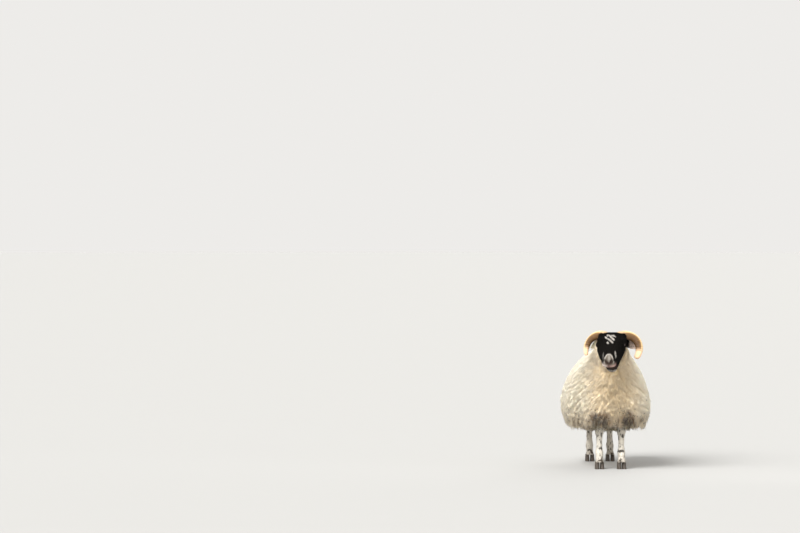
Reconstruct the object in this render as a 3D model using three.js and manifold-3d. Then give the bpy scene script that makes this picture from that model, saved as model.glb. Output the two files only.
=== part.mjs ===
// A hill sheep with curled horns, standing square in a long winter fleece with its head up.
// Millimetres. +X is the animal's left, -Y is forward, +Z is up, and the soles stand on z = 0.
import * as THREE from "three";
import { mergeVertices } from "three/addons/utils/BufferGeometryUtils.js";
import Module from "manifold-3d";

const wasm = await Module();
wasm.setup();

// ---- Driving dimensions -------------------------------------------------------------------

const GAP = 0.35; // between touching nodes

// The fleece, out to the tips of its locks.
const FLEECE = {
  halfWidth: 252, // at its widest, low on the ribs
  widestZ: 370,
  up: 318, // from there to the parting along the back
  down: 165, // and to the hem over the legs
  chestY: -392,
  rumpY: 462,
  upperPower: 1.62, // a peaked dome above
  lowerPower: 3.2, // and a square hem below
  endPower: 3.2,
  coreDepth: 44, // the core lies this far inside the tips
  neckBlend: 60, // how widely the neck runs into the shoulders
};
const HEM_RISE = { fromY: 190, rise: 78 }; // the hem climbs towards the hocks

// The neck, from inside the shoulders to the back of the head, out to the tips.
const NECK = {
  base: new THREE.Vector3(0, -150, 500),
  nape: new THREE.Vector3(0, -338, 664),
  baseHalf: [186, 205], // side, then depth
  napeHalf: [104, 108],
};

// The head: its poll, and how it is held. Turned a little to its right, nose below the brow.
const POLL = new THREE.Vector3(-4, -384, 783);
const HEAD_TURN = THREE.MathUtils.degToRad(12);
const HEAD_PITCH = THREE.MathUtils.degToRad(27);

const EYE = { along: 86, height: -32, out: 69, radius: 15 };
const HORN = {
  rootSpread: 70, // centre of the curl from the midline
  centreDrop: 97,
  curl: 81,
  startDeg: 112,
  endDeg: { left: -36, right: -24 },
  rootBack: 6,
  backSweep: 56, // the curl bows back this far
  tipForward: 16, // and its tip comes forward
  radial: [28, 18], // half section at root and tip
  deep: [23, 14],
  ridges: 10,
  ridgeHeight: 1.7,
  smoothFrom: 0.72, // the ridges die away towards the tip
  smoothTo: 0.86,
  roundFrom: 0.93, // where the blunt tip rounds over
};
const EAR = {
  along: 4,
  height: -48,
  out: 58,
  length: 106,
  halfWidth: 25,
  thick: 5,
  droop: 14,
  rollFrom: 1.35, // half the angle its cup turns through at the root
  rollTo: 0.55,
};
const STANCE = { fore: [63, -256], hind: [60, 330] }; // half the spread, and the place along
const CLAW = { height: 40, length: 62, halfWidth: 13, cleft: 3, toe: 34 };

// ---- Small tools --------------------------------------------------------------------------

const V = (x, y, z) => new THREE.Vector3(x, y, z);
const mix = THREE.MathUtils.lerp;
const clamp = THREE.MathUtils.clamp;
const smooth = THREE.MathUtils.smoothstep;
const bump = (x, centre, reach) => Math.exp(-(((x - centre) / reach) ** 2));
const power = (value, p) => Math.sign(value) * Math.abs(value) ** p;

// A smooth curve through rows of numbers, read by the first number of each row.
function through(rows) {
  const slope = (i, k) => {
    const before = rows[Math.max(i - 1, 0)];
    const after = rows[Math.min(i + 1, rows.length - 1)];
    return (after[k] - before[k]) / (after[0] - before[0]);
  };
  return (x) => {
    let i = 0;
    while (i < rows.length - 2 && x > rows[i + 1][0]) i += 1;
    const span = rows[i + 1][0] - rows[i][0];
    const t = clamp((x - rows[i][0]) / span, 0, 1);
    return rows[i].slice(1).map((low, column) => {
      const k = column + 1;
      const high = rows[i + 1][k];
      return (
        low * (1 + 2 * t) * (1 - t) ** 2 +
        high * t * t * (3 - 2 * t) +
        span * t * (1 - t) * (slope(i, k) * (1 - t) - slope(i + 1, k) * t)
      );
    });
  };
}

// A closed geometry as a manifold solid, turned the right way out.
function solid(geometry) {
  const bare = geometry.clone();
  bare.deleteAttribute("normal");
  bare.deleteAttribute("uv");
  const merged = mergeVertices(bare, 1e-3);
  const triVerts = new Uint32Array(merged.index.array);
  const vertProperties = new Float32Array(merged.attributes.position.array);
  const made = new wasm.Manifold(new wasm.Mesh({ numProp: 3, vertProperties, triVerts }));
  if (made.volume() > 0) return made;
  for (let i = 0; i < triVerts.length; i += 3) {
    [triVerts[i + 1], triVerts[i + 2]] = [triVerts[i + 2], triVerts[i + 1]];
  }
  return new wasm.Manifold(new wasm.Mesh({ numProp: 3, vertProperties, triVerts }));
}

// A closed skin: a sphere's grid, each point put where place(around, along) says.
// around runs 0 to 1 round the form and along 0 to 1 from one pole to the other.
function skin(sides, rings, place) {
  const grid = new THREE.SphereGeometry(1, sides, rings);
  const spot = grid.attributes.position;
  const share = grid.attributes.uv;
  for (let i = 0; i < spot.count; i += 1) {
    const ring = Math.round((1 - share.getY(i)) * rings);
    const side = Math.round(share.getX(i) * sides) % sides;
    const pole = ring === 0 || ring === rings;
    const p = place(pole ? 0 : side / sides, ring / rings);
    spot.setXYZ(i, p.x, p.y, p.z);
  }
  return solid(grid);
}

// The largest closed surface of a solid.
const largest = (made) =>
  made.decompose().reduce((best, piece) => (piece.volume() > best.volume() ? piece : best));

const group = new THREE.Group();

// Puts a solid in the model as a named mesh.
function node(name, made, material) {
  const mesh = largest(made).getMesh();
  const geometry = new THREE.BufferGeometry();
  geometry.setAttribute("position", new THREE.BufferAttribute(mesh.vertProperties, 3));
  geometry.setIndex(new THREE.BufferAttribute(mesh.triVerts, 1));
  geometry.computeVertexNormals();
  const part = new THREE.Mesh(geometry, material);
  part.name = name;
  group.add(part);
}

const finish = (color, roughness) =>
  new THREE.MeshStandardMaterial({ color, roughness, metalness: 0 });
const WOOL = finish(0xe6dcc4, 0.95);
const DARK_HAIR = finish(0x17130f, 0.7);
const PALE_HAIR = finish(0xcfc4b4, 0.8);
const LEG_HAIR = finish(0x8d8377, 0.8);
const HORN_COLOUR = finish(0xcba878, 0.55);
const CLAW_COLOUR = finish(0x2b241d, 0.5);
const EYE_COLOUR = finish(0x4a3413, 0.08);

// ---- The fleece as a field ----------------------------------------------------------------

// How far p is outside the fleece of the trunk, in mm, measured out to the tips of the locks.
function trunkField(p) {
  const middleY = (FLEECE.chestY + FLEECE.rumpY) / 2;
  const halfLength = (FLEECE.rumpY - FLEECE.chestY) / 2;
  const rise = HEM_RISE.rise * smooth(p.y, HEM_RISE.fromY, FLEECE.rumpY);
  const level = (q) => {
    const above = q.z > FLEECE.widestZ;
    const n = above ? FLEECE.upperPower : FLEECE.lowerPower;
    const tall = above ? FLEECE.up : FLEECE.down - rise;
    const across = Math.abs(q.x / FLEECE.halfWidth) ** n;
    const section = (across + Math.abs((q.z - FLEECE.widestZ) / tall) ** n) ** (1 / n);
    const length = Math.abs((q.y - middleY) / halfLength);
    const m = FLEECE.endPower;
    return (section ** m + length ** m) ** (1 / m) - 1;
  };
  return level(p) / gradient(level, p).length();
}

// How far p is outside the fleece of the neck, a tapered rod with a round end at the nape.
function neckField(p) {
  const axis = NECK.nape.clone().sub(NECK.base);
  const length = axis.length();
  axis.normalize();
  const deep = V(0, axis.z, -axis.y);
  const level = (q) => {
    const from = q.clone().sub(NECK.base);
    const t = clamp(from.dot(axis) / length, 0, 1);
    const half = [0, 1].map((k) => mix(NECK.baseHalf[k], NECK.napeHalf[k], t));
    const past = from.dot(axis) - t * length;
    return Math.hypot(from.x / half[0], from.dot(deep) / half[1], past / half[0]) - 1;
  };
  return level(p) / gradient(level, p).length();
}

// How a field changes about p, from its values a short step to each side.
function gradient(field, p) {
  const step = 2;
  const along = (dx, dy, dz) => {
    const change = V(dx, dy, dz).multiplyScalar(step);
    return (field(p.clone().add(change)) - field(p.clone().sub(change))) / (2 * step);
  };
  return V(along(1, 0, 0), along(0, 1, 0), along(0, 0, 1));
}

// Both together, blended where the neck leaves the shoulders.
function fleeceField(p) {
  const a = trunkField(p);
  const b = neckField(p);
  const h = clamp(0.5 + (b - a) / (2 * FLEECE.neckBlend), 0, 1);
  return mix(b, a, h) - FLEECE.neckBlend * h * (1 - h);
}

// The point where a ray from centre meets the field at a given depth below the tips.
function meets(field, centre, way, depth) {
  let near = 0;
  let far = 900; // beyond either end of the coat
  const halvings = 26;
  for (let i = 0; i < halvings; i += 1) {
    const half = (near + far) / 2;
    if (field(centre.clone().addScaledVector(way, half)) < -depth) near = half;
    else far = half;
  }
  return centre.clone().addScaledVector(way, (near + far) / 2);
}

const TRUNK_CENTRE = V(0, 35, 400);
const BODY_SHAPE = V(0.57, 1, 0.6); // spreads rays from there evenly over a long body

function trunkCore(sides, rings) {
  return skin(sides, rings, (around, along) => {
    const turn = around * 2 * Math.PI;
    const tilt = along * Math.PI;
    const way = V(Math.sin(tilt) * Math.cos(turn), -Math.cos(tilt), Math.sin(tilt) * Math.sin(turn));
    return meets(trunkField, TRUNK_CENTRE, way.multiply(BODY_SHAPE).normalize(), FLEECE.coreDepth);
  });
}

function neckCore(sides, rings) {
  const axis = NECK.nape.clone().sub(NECK.base).normalize();
  const deep = V(0, axis.z, -axis.y);
  const centre = NECK.base.clone().lerp(NECK.nape, 0.5);
  return skin(sides, rings, (around, along) => {
    const turn = around * 2 * Math.PI;
    const tilt = along * Math.PI;
    const way = V(Math.sin(tilt) * Math.cos(turn), 0, 0)
      .addScaledVector(deep, Math.sin(tilt) * Math.sin(turn))
      .addScaledVector(axis, Math.cos(tilt))
      .normalize();
    return meets(neckField, centre, way, FLEECE.coreDepth);
  });
}

// ---- The head -----------------------------------------------------------------------------

// The head's own frame: along from the poll to the nose, height above the face line, out to a side.
const ALONG = V(
  -Math.sin(HEAD_TURN) * Math.cos(HEAD_PITCH),
  -Math.cos(HEAD_TURN) * Math.cos(HEAD_PITCH),
  -Math.sin(HEAD_PITCH),
);
const OUT = V(Math.cos(HEAD_TURN), -Math.sin(HEAD_TURN), 0);
const HEIGHT = new THREE.Vector3().crossVectors(OUT, ALONG).negate();
const onHead = (along, height, out) =>
  POLL.clone().addScaledVector(ALONG, along).addScaledVector(HEIGHT, height).addScaledVector(OUT, out);

// Sections from the back of the skull to the nose:
// along, top, bottom, half width, height of the widest place, and the powers above and below it.
const headSection = through([
  [-46, -34, -104, 58, -66, 2.4, 2.0],
  [-20, -8, -124, 77, -52, 3.0, 2.0],
  [20, 2, -138, 83, -44, 3.3, 1.9],
  [60, 4, -143, 82, -44, 3.0, 1.8],
  [95, 4, -142, 78, -50, 2.6, 1.8],
  [130, 3, -138, 71, -58, 2.3, 1.9],
  [165, 0, -132, 60, -62, 2.2, 2.0],
  [200, -4, -130, 48, -62, 2.2, 2.1],
  [232, -10, -131, 39, -60, 2.2, 2.2],
  [262, -20, -126, 33, -60, 2.2, 2.2],
]);
const HEAD_BACK = -46;
const HEAD_FRONT = 262;
const NOSE_CAP = 34;
const SKULL_CAP = 34;
const JAW = {
  from: 72, // below the face line, where the lower jaw begins
  to: 104,
  shorter: 15, // than the nose
  shift: 14, // to the animal's left, as in chewing
};
const NOSE_SLOPE = 9; // how far the top of the nose falls back from its front
const FACE_CENTRE = 60; // below the face line; the forms of the face swell away from here
const NOSE_TURN = 40; // and over this length of the nose they turn forward

// Rises and hollows of the face: along, height, out, the reach of each, and how far out they rise.
const FACE_FORMS = [
  [74, -8, 58, 24, 10, 20, 6], // brow
  [106, -56, 66, 34, 11, 16, 4], // cheekbone
  [58, -104, 70, 34, 28, 24, 5], // cheek muscle
  [130, -38, 60, 14, 13, 13, -5], // hollow before the eye
  [170, -58, 50, 26, 12, 14, -3], // and below it
  [205, -22, 30, 26, 12, 12, 2], // edge of the nose bone
  [251, -30, 24, 11, 10, 11, 5], // wing of the nostril
  [226, -50, 40, 12, 14, 12, -3], // groove behind it
  [246, -74, 22, 15, 9, 16, 5], // upper lip
  [262, -70, 0, 16, 16, 4, -5], // the cleft in it
  [238, -99, 14, 12, 5, 16, 3], // lower lip
  [226, -116, 8, 16, 9, 16, 3], // chin
  [186, -89, 48, 10, 8, 12, -4], // corner of the mouth
  [150, -118, 44, 40, 10, 12, 3], // edge of the jaw
  [120, -128, 18, 60, 12, 12, -4], // between the jaws
];

const ringAlong = through([
  [0, HEAD_BACK],
  [0.08, -38],
  [0.3, 28],
  [0.62, 150],
  [0.84, 225],
  [0.93, 249],
  [1, HEAD_FRONT],
]);

// How far the face rises at a place of its plain sections.
function faceRise(a, h, out) {
  let rise = 0;
  for (const [fa, fh, fo, ra, rh, ro, most] of FACE_FORMS) {
    for (const side of fo === 0 ? [1] : [1, -1]) {
      rise += most * bump(a, fa, ra) * bump(h, fh, rh) * bump(out, side * fo, ro);
    }
  }
  return rise;
}

function headPoint(around, along, grow) {
  const a = along === 0 ? HEAD_BACK : along === 1 ? HEAD_FRONT : ringAlong(along)[0];
  const [top, bottom, half, widest, above, below] = headSection(a);
  const turn = around * 2 * Math.PI;
  const up = Math.cos(turn);
  const n = up > 0 ? above : below;
  const nose = clamp((a - (HEAD_FRONT - NOSE_CAP)) / NOSE_CAP, 0, 1);
  const skull = clamp((HEAD_BACK + SKULL_CAP - a) / SKULL_CAP, 0, 1);
  const close = Math.sqrt(Math.max(0, 1 - nose ** 2.4)) * Math.sqrt(Math.max(0, 1 - skull ** 2));
  const out = half * power(Math.sin(turn), 2 / n) * close;
  const height = widest + (up > 0 ? top - widest : widest - bottom) * power(up, 2 / n) * close;
  const pole = along === 0 ? -1 : along === 1 ? 1 : 0;
  const forward = Math.max(a - (HEAD_FRONT - NOSE_TURN), 0) + NOSE_TURN * pole;
  const way = V(forward, height + FACE_CENTRE, out).normalize();
  const swell = grow + faceRise(a, height, out);
  const lower = smooth(-height, JAW.from, JAW.to);
  const back =
    JAW.shorter * lower * smooth(a, 190, HEAD_FRONT) +
    NOSE_SLOPE * smooth(height, -36, -8) * smooth(a, 228, HEAD_FRONT);
  const jaw = JAW.shift * smooth(a, 120, 230) * smooth(-height, 78, 100);
  return onHead(a + way.x * swell - back, height + way.y * swell, out + way.z * swell + jaw);
}

const headForm = (grow, sides = 26, rings = 26) =>
  skin(sides, rings, (around, along) => headPoint(around, along, grow));

// The centre of an eyeball, and the way the eye looks.
const eyeCentre = (side) => onHead(EYE.along, EYE.height, side * EYE.out);
const eyeAxis = (side) =>
  V(0, 0, 0)
    .addScaledVector(ALONG, 0.42)
    .addScaledVector(HEIGHT, 0.22)
    .addScaledVector(OUT, 0.88 * side)
    .normalize();

// A geometry moved into a frame whose own x, y and z are the given ways.
function placed(geometry, x, y, z, at) {
  return geometry.applyMatrix4(new THREE.Matrix4().makeBasis(x, y, z).setPosition(at));
}

function eyeBall(side, radius) {
  const look = eyeAxis(side);
  const x = new THREE.Vector3().crossVectors(HEIGHT, look).normalize();
  const y = new THREE.Vector3().crossVectors(look, x);
  const ball = new THREE.SphereGeometry(radius, 16, 8).rotateX(Math.PI / 2);
  return solid(placed(ball, x, y, look, eyeCentre(side)));
}

const LID = {
  thick: 2.6,
  halfLength: 15,
  upper: 10.5,
  lower: 8,
  tiltDeg: 14,
  back: 2, // the opening starts this far out from the eye's centre
  clears: 40, // and runs out this far, past the lids
};

// The almond opening between the lids, long enough to clear them.
function lidOpening(side) {
  const look = eyeAxis(side);
  const forward = ALONG.clone().addScaledVector(look, -ALONG.dot(look)).normalize();
  const up = new THREE.Vector3().crossVectors(look, forward).multiplyScalar(-side);
  if (up.dot(HEIGHT) < 0) up.negate();
  const almond = new THREE.Shape();
  const points = 16;
  for (let i = 0; i < points; i += 1) {
    const turn = (2 * Math.PI * i) / points;
    const tall = i <= points / 2 ? LID.upper : LID.lower;
    const x = LID.halfLength * Math.cos(turn);
    const y = tall * power(Math.sin(turn), 0.9);
    if (i === 0) almond.moveTo(x, y);
    else almond.lineTo(x, y);
  }
  const block = new THREE.ExtrudeGeometry(almond, { depth: LID.clears, bevelEnabled: false });
  block.rotateZ(THREE.MathUtils.degToRad(-LID.tiltDeg));
  const outward = new THREE.Vector3().crossVectors(forward, up);
  if (outward.dot(look) < 0) block.scale(1, 1, -1);
  return solid(placed(block, forward, up, outward, eyeCentre(side).addScaledVector(look, LID.back)));
}

const MOUTH = { corner: 180, past: 290, gape: 4.6, cornerGape: 0.3, deep: 10, across: 140 };

// The line of the mouth, from the front of the lips to the corner, as a slot cut in the surface.
function mouthLine() {
  const line = through([
    [MOUTH.corner, -90],
    [205, -88],
    [232, -87],
    [MOUTH.past, -90],
  ]);
  const half = (a) => MOUTH.gape * smooth(a, MOUTH.corner - 2, 240) + MOUTH.cornerGape;
  const stops = [MOUTH.corner, 205, 232, MOUTH.past];
  const cut = new THREE.Shape();
  cut.moveTo(stops[0], line(stops[0])[0] + half(stops[0]));
  for (const a of stops.slice(1)) cut.lineTo(a, line(a)[0] + half(a));
  for (const a of stops.reverse()) cut.lineTo(a, line(a)[0] - half(a));
  const slab = new THREE.ExtrudeGeometry(cut, { depth: MOUTH.across, bevelEnabled: false });
  slab.translate(0, 0, -MOUTH.across / 2);
  return solid(placed(slab, ALONG, HEIGHT, OUT, POLL)).subtract(headForm(-MOUTH.deep, 14, 12));
}

const NOSTRIL = {
  along: 258,
  height: -40,
  out: 17,
  long: 13,
  wide: 4.5,
  deep: 13,
  tiltDeg: 32, // its slit leans outward at the top
  turnDeg: 29, // and faces a little to the side
};

function nostril(side) {
  const hole = new THREE.SphereGeometry(1, 8, 6);
  hole.scale(NOSTRIL.deep, NOSTRIL.long, NOSTRIL.wide);
  hole.rotateX(side * THREE.MathUtils.degToRad(NOSTRIL.tiltDeg));
  hole.rotateY(-side * THREE.MathUtils.degToRad(NOSTRIL.turnDeg));
  const at = onHead(NOSTRIL.along, NOSTRIL.height, side * NOSTRIL.out);
  return solid(placed(hole, ALONG, HEIGHT, OUT, at));
}

const SIDES = { left: 1, right: -1 };

// ---- Horns and ears -----------------------------------------------------------------------

// Level directions at the poll, turned with the head but not tipped with it.
const BACK = V(Math.sin(HEAD_TURN), Math.cos(HEAD_TURN), 0);
const UP = V(0, 0, 1);
const atPoll = (out, back, up) =>
  POLL.clone().addScaledVector(OUT, out).addScaledVector(BACK, back).addScaledVector(UP, up);

// The centre line of a horn: up and out from the poll, back over the ear, then down and forward.
function hornLine(side, t) {
  const end = side > 0 ? HORN.endDeg.left : HORN.endDeg.right;
  const turn = THREE.MathUtils.degToRad(mix(HORN.startDeg, end, t));
  return atPoll(
    side * (HORN.rootSpread + HORN.curl * Math.cos(turn)),
    HORN.rootBack + HORN.backSweep * Math.sin(Math.PI * power(t, 0.85)) - HORN.tipForward * t ** 3,
    HORN.curl * Math.sin(turn) - HORN.centreDrop,
  );
}

function horn(side, grow) {
  const hub = atPoll(side * HORN.rootSpread, HORN.backSweep * 0.6, -HORN.centreDrop);
  return skin(12, 28, (around, t) => {
    const here = hornLine(side, t);
    const ahead = hornLine(side, t + 0.01).sub(hornLine(side, t - 0.01)).normalize();
    const outward = here.clone().sub(hub);
    outward.addScaledVector(ahead, -outward.dot(ahead)).normalize();
    const across = new THREE.Vector3().crossVectors(ahead, outward);
    const tip = clamp((t - HORN.roundFrom) / (1 - HORN.roundFrom), 0, 1);
    const round = Math.sqrt(Math.max(0, 1 - tip * tip));
    const wave = Math.cos(2 * Math.PI * HORN.ridges * t ** 0.9);
    const ridge = HORN.ridgeHeight * wave * (1 - smooth(t, HORN.smoothFrom, HORN.smoothTo));
    const turn = around * 2 * Math.PI;
    const radial = (mix(HORN.radial[0], HORN.radial[1], t) + ridge) * round + grow;
    const deep = (mix(HORN.deep[0], HORN.deep[1], t) + ridge) * round + grow;
    return here
      .addScaledVector(outward, power(Math.cos(turn), 0.8) * (t === 1 ? 0 : radial))
      .addScaledVector(across, power(Math.sin(turn), 0.9) * (t === 1 ? 0 : deep))
      .addScaledVector(ahead, t === 1 ? grow : t === 0 ? -grow : 0);
  });
}

// A leaf rolled about its length, its cup facing out and forward.
function ear(side) {
  const root = onHead(EAR.along, EAR.height, side * EAR.out);
  const reach = V(0, 0, 0)
    .addScaledVector(OUT, 0.66 * side)
    .addScaledVector(BACK, 0.66)
    .addScaledVector(UP, -0.3)
    .normalize();
  const cup = V(0, 0, 0).addScaledVector(OUT, 0.75 * side).addScaledVector(BACK, -0.66);
  cup.addScaledVector(UP, 0.1).addScaledVector(reach, -cup.dot(reach)).normalize();
  const wide = new THREE.Vector3().crossVectors(reach, cup);
  return skin(16, 12, (around, along) => {
    const half = EAR.halfWidth * Math.sin(Math.PI * mix(0.2, 1, along) ** 1.15) ** 0.75;
    const roll = mix(EAR.rollFrom, EAR.rollTo, along);
    const radius = half / Math.sin(roll);
    const turn = around * 2 * Math.PI;
    const bend = Math.cos(turn) * roll;
    const edge = EAR.thick * 0.5 * Math.sin(turn) * (along === 1 ? 0 : 1);
    const r = radius + edge;
    const end = along === 0 || along === 1;
    return root
      .clone()
      .addScaledVector(reach, EAR.length * along)
      .addScaledVector(UP, -EAR.droop * along * along)
      .addScaledVector(wide, end ? 0 : r * Math.sin(bend))
      .addScaledVector(cup, end ? 0 : -(r * Math.cos(bend) - radius * Math.cos(roll)));
  });
}

// ---- Legs and claws -----------------------------------------------------------------------

// Level sections of a leg from its top inside the fleece to the band above the claws:
// height, how far back from the foot's place, half width, half depth.
const foreleg = through([
  [CLAW.height, -14, 23, 26],
  [66, -6, 19.5, 20],
  [84, 0, 21.5, 24],
  [96, 3, 22, 24],
  [116, 4, 18, 20],
  [150, 4, 16.5, 18.5],
  [186, 4, 19, 20],
  [210, 3, 25, 25],
  [234, 2, 25.5, 26],
  [262, 6, 24, 30],
  [300, 10, 30, 40],
  [345, 14, 34, 48],
]);
const hindleg = through([
  [CLAW.height, -10, 22.5, 26],
  [66, -2, 19, 20],
  [84, 6, 21, 24],
  [96, 9, 21.5, 24],
  [118, 12, 17.5, 20],
  [165, 17, 16.5, 19],
  [215, 23, 18, 22],
  [244, 28, 21, 28],
  [268, 33, 22, 32],
  [292, 32, 21, 31],
  [330, 16, 30, 42],
  [375, -6, 42, 60],
]);

const LEG_TOP = { fore: 345, hind: 375 };

function legForm(kind, side, grow) {
  const [x, y] = STANCE[kind];
  const sections = kind === "fore" ? foreleg : hindleg;
  const rings = 17;
  return skin(12, rings, (around, along) => {
    const t = clamp((along * rings - 1) / (rings - 2), 0, 1);
    const z = mix(CLAW.height, LEG_TOP[kind], t) + (along === 1 ? 6 : 0);
    const [back, half, deep] = sections(z);
    const turn = around * 2 * Math.PI;
    const end = along === 0 || along === 1 ? 0 : 1;
    return V(
      side * x + end * (half + grow) * Math.cos(turn),
      y + back + end * (deep + grow) * power(Math.sin(turn), 0.92),
      z + (along === 0 ? -grow : along === 1 ? grow : 0),
    );
  });
}

// Two small claws behind the fetlock.
function dewclaws(kind, side) {
  const [x, y] = STANCE[kind];
  const back = kind === "fore" ? 25 : 33;
  return [-1, 1].map((pair) => {
    const cone = new THREE.ConeGeometry(8, 20, 6);
    cone.rotateX(Math.PI - 0.5);
    return solid(cone.translate(side * x + pair * 10, y + back, 80));
  });
}

// One claw of the cloven foot: flat under and along the cleft, round outside, sloping to the toe.
function claw(kind, side, pair) {
  const { height, length, halfWidth, cleft, toe } = CLAW;
  const [x, y] = STANCE[kind];
  const ahead = kind === "fore" ? 10 : 6; // of the middle of the leg
  const layers = 5;
  return skin(12, layers + 1, (around, along) => {
    const up = clamp((along * (layers + 1) - 1) / (layers - 1), 0, 1);
    const end = along === 0 || along === 1 ? 0 : 1;
    const turn = around * 2 * Math.PI;
    const across = power(Math.cos(turn), 0.7);
    const back = power(Math.sin(turn), 0.9);
    const reach = back < 0 ? mix(toe, 14, up) : mix(length - toe, 24, up);
    const inside = across * pair < 0;
    const narrow = back < 0 && !inside ? 1 - 0.5 * back ** 4 : 1;
    const width = halfWidth * (inside ? mix(1, 0.9, up) : mix(1, 0.86, up) * narrow);
    return V(
      side * x + pair * (halfWidth + cleft / 2) + end * width * across,
      y - ahead + end * reach * back,
      mix(0, height - GAP, up),
    );
  });
}

// ---- The tail -----------------------------------------------------------------------------

const TAIL = { rootY: 380, hangY: 466, rootZ: 610, tipZ: 312, halfWidth: 42, halfDepth: 24 };

// How full the tail is along its length, and how far back it hangs there.
const tailFull = (along) => Math.sin(Math.PI * mix(0.14, 0.97, along)) ** 0.5;
const tailBack = (along) => mix(TAIL.rootY, TAIL.hangY, smooth(along, 0, 0.55));

// Hanging from inside the rump, woolly and a little flat.
function tailForm(grow) {
  return skin(12, 12, (around, along) => {
    const turn = around * 2 * Math.PI;
    const end = along === 0 || along === 1 ? 0 : 1;
    return V(
      end * (TAIL.halfWidth * tailFull(along) + grow) * Math.cos(turn),
      tailBack(along) + end * (TAIL.halfDepth * tailFull(along) + grow) * Math.sin(turn),
      mix(TAIL.rootZ + grow, TAIL.tipZ - grow, along),
    );
  });
}

// Locks hang over the back of the tail, rooted in it, their tips a little proud of it.
const TAIL_LOCKS = {
  rows: 3,
  inRow: 3,
  length: 118,
  halfWidth: 22,
  halfThick: 7,
  rooted: 10, // inside the tail at its root
  stand: 1, // proud of it at its tip
  widths: [0, 0.7, 1, 0.62, 0], // from root to tip
};

function tailLock(row, column, grow) {
  const { length, halfWidth, halfThick, rooted, stand, widths } = TAIL_LOCKS;
  const from = mix(0.1, 0.62, row / (TAIL_LOCKS.rows - 1));
  const turn = mix(0.14, 0.86, (column + 0.5 * (row % 2)) / (TAIL_LOCKS.inRow - 0.5)) * Math.PI;
  const away = V(Math.cos(turn), Math.sin(turn), 0);
  const across = V(-away.y, away.x, 0);
  return skin(LOCK.sides, widths.length - 1, (around, along) => {
    const size = widths[Math.round(along * (widths.length - 1))];
    const grown = size > 0 ? grow : 0;
    const end = along === 0 ? grow : along === 1 ? -grow : 0;
    const z = mix(TAIL.rootZ, TAIL.tipZ, from) - length * along + end;
    const share = clamp((TAIL.rootZ - z) / (TAIL.rootZ - TAIL.tipZ), 0, 0.9);
    const out = mix(-rooted, stand, smooth(along, 0, 0.8));
    const spin = (around + 0.25) * 2 * Math.PI;
    const x = away.x * (TAIL.halfWidth * tailFull(share) + out);
    const y = tailBack(share) + away.y * (TAIL.halfDepth * tailFull(share) + out);
    return V(x, y, z)
      .addScaledVector(across, Math.cos(spin) * (halfWidth * size + grown))
      .addScaledVector(away, Math.sin(spin) * (halfThick * size + grown));
  });
}

function woollyTail(grow) {
  const hanging = [];
  for (let row = 0; row < TAIL_LOCKS.rows; row += 1) {
    for (let column = 0; column < TAIL_LOCKS.inRow; column += 1) {
      hanging.push(tailLock(row, column, grow));
    }
  }
  return wasm.Manifold.union([tailForm(grow), ...hanging]);
}

// ---- Locks of the fleece ------------------------------------------------------------------

const LOCK = {
  length: 140,
  halfWidth: 42,
  halfThick: 16,
  sides: 4,
  places: [0, 0.42, 0.82, 1], // along the lock, from root to tip
  depths: [72, 30, 12, 4], // of the centre line there, below the tips' surface
  widths: [0.7, 1, 0.72, 0],
};
const TRUNK_LOCKS = 106; // spread over the whole trunk, before the belly's are left out
const NECK_LOCKS = 64;
const HEM_Z = 204; // the lowest tips

// Unit vectors spread evenly over a ball.
function* evenWays(count) {
  const golden = Math.PI * (3 - Math.sqrt(5));
  for (let i = 0; i < count; i += 1) {
    const up = 1 - (2 * (i + 0.5)) / count;
    const flat = Math.sqrt(1 - up * up);
    yield V(flat * Math.cos(golden * i), flat * Math.sin(golden * i), up);
  }
}

// A seeded draw from 0 to 1.
function draw(seed) {
  const s = Math.sin(seed * 127.1 + 311.7) * 43758.5453;
  return s - Math.floor(s);
}

// The way the wool lies at p: down each side from the middle of the back, and a little back.
function lie(p, normal) {
  const side = Math.sign(p.x || 1) * smooth(Math.abs(p.x), 0, 120);
  const way = V(0.62 * side, 0.2, -1);
  return way.addScaledVector(normal, -way.dot(normal)).normalize();
}

// One lock, rooted in the core and lying along the coat, with its tip at the tips' surface.
function lock(root, seed) {
  const steps = LOCK.depths.length - 1;
  const length = LOCK.length * (0.9 + 0.25 * draw(seed));
  const lean = 0.5 * (draw(seed + 0.37) - 0.5);
  const spine = [];
  let p = root.clone();
  for (let k = 0; k <= steps; k += 1) {
    const stride = k < steps ? length * (LOCK.places[k + 1] - LOCK.places[k]) : 0;
    const normal = gradient(fleeceField, p).normalize();
    const depth = LOCK.depths[k] + 6 * (draw(seed + k) - 0.5) * Math.min(k, 1);
    const hangs = smooth(-normal.z, 0.15, 0.6) * Math.min(k, 1);
    p.addScaledVector(normal, (-depth - fleeceField(p)) * (1 - hangs));
    p.z = Math.max(p.z, HEM_Z);
    const flow = lie(p, normal).lerp(V(0, 0, -1), hangs).normalize();
    const across = new THREE.Vector3().crossVectors(flow, normal).normalize();
    spine.push({ at: p.clone(), normal, across });
    flow.addScaledVector(across, lean).normalize();
    p = p.clone().addScaledVector(flow, stride);
  }
  return skin(LOCK.sides, steps + 1, (around, along) => {
    const k = Math.round(along * (steps + 1));
    if (k === 0) return spine[0].at.clone().addScaledVector(spine[0].normal, -6);
    if (k === steps + 1) return spine[steps].at.clone();
    const { at, normal, across } = spine[k - 1];
    const turn = (around + 0.25) * 2 * Math.PI;
    return at
      .clone()
      .addScaledVector(across, Math.cos(turn) * LOCK.halfWidth * LOCK.widths[k - 1])
      .addScaledVector(normal, Math.sin(turn) * LOCK.halfThick * LOCK.widths[k - 1]);
  });
}

const PARTING = { normal: [0, -0.76, 0.65], at: 619.5 }; // plane between neck and shoulders

// ---- The nodes ----------------------------------------------------------------------------

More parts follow.
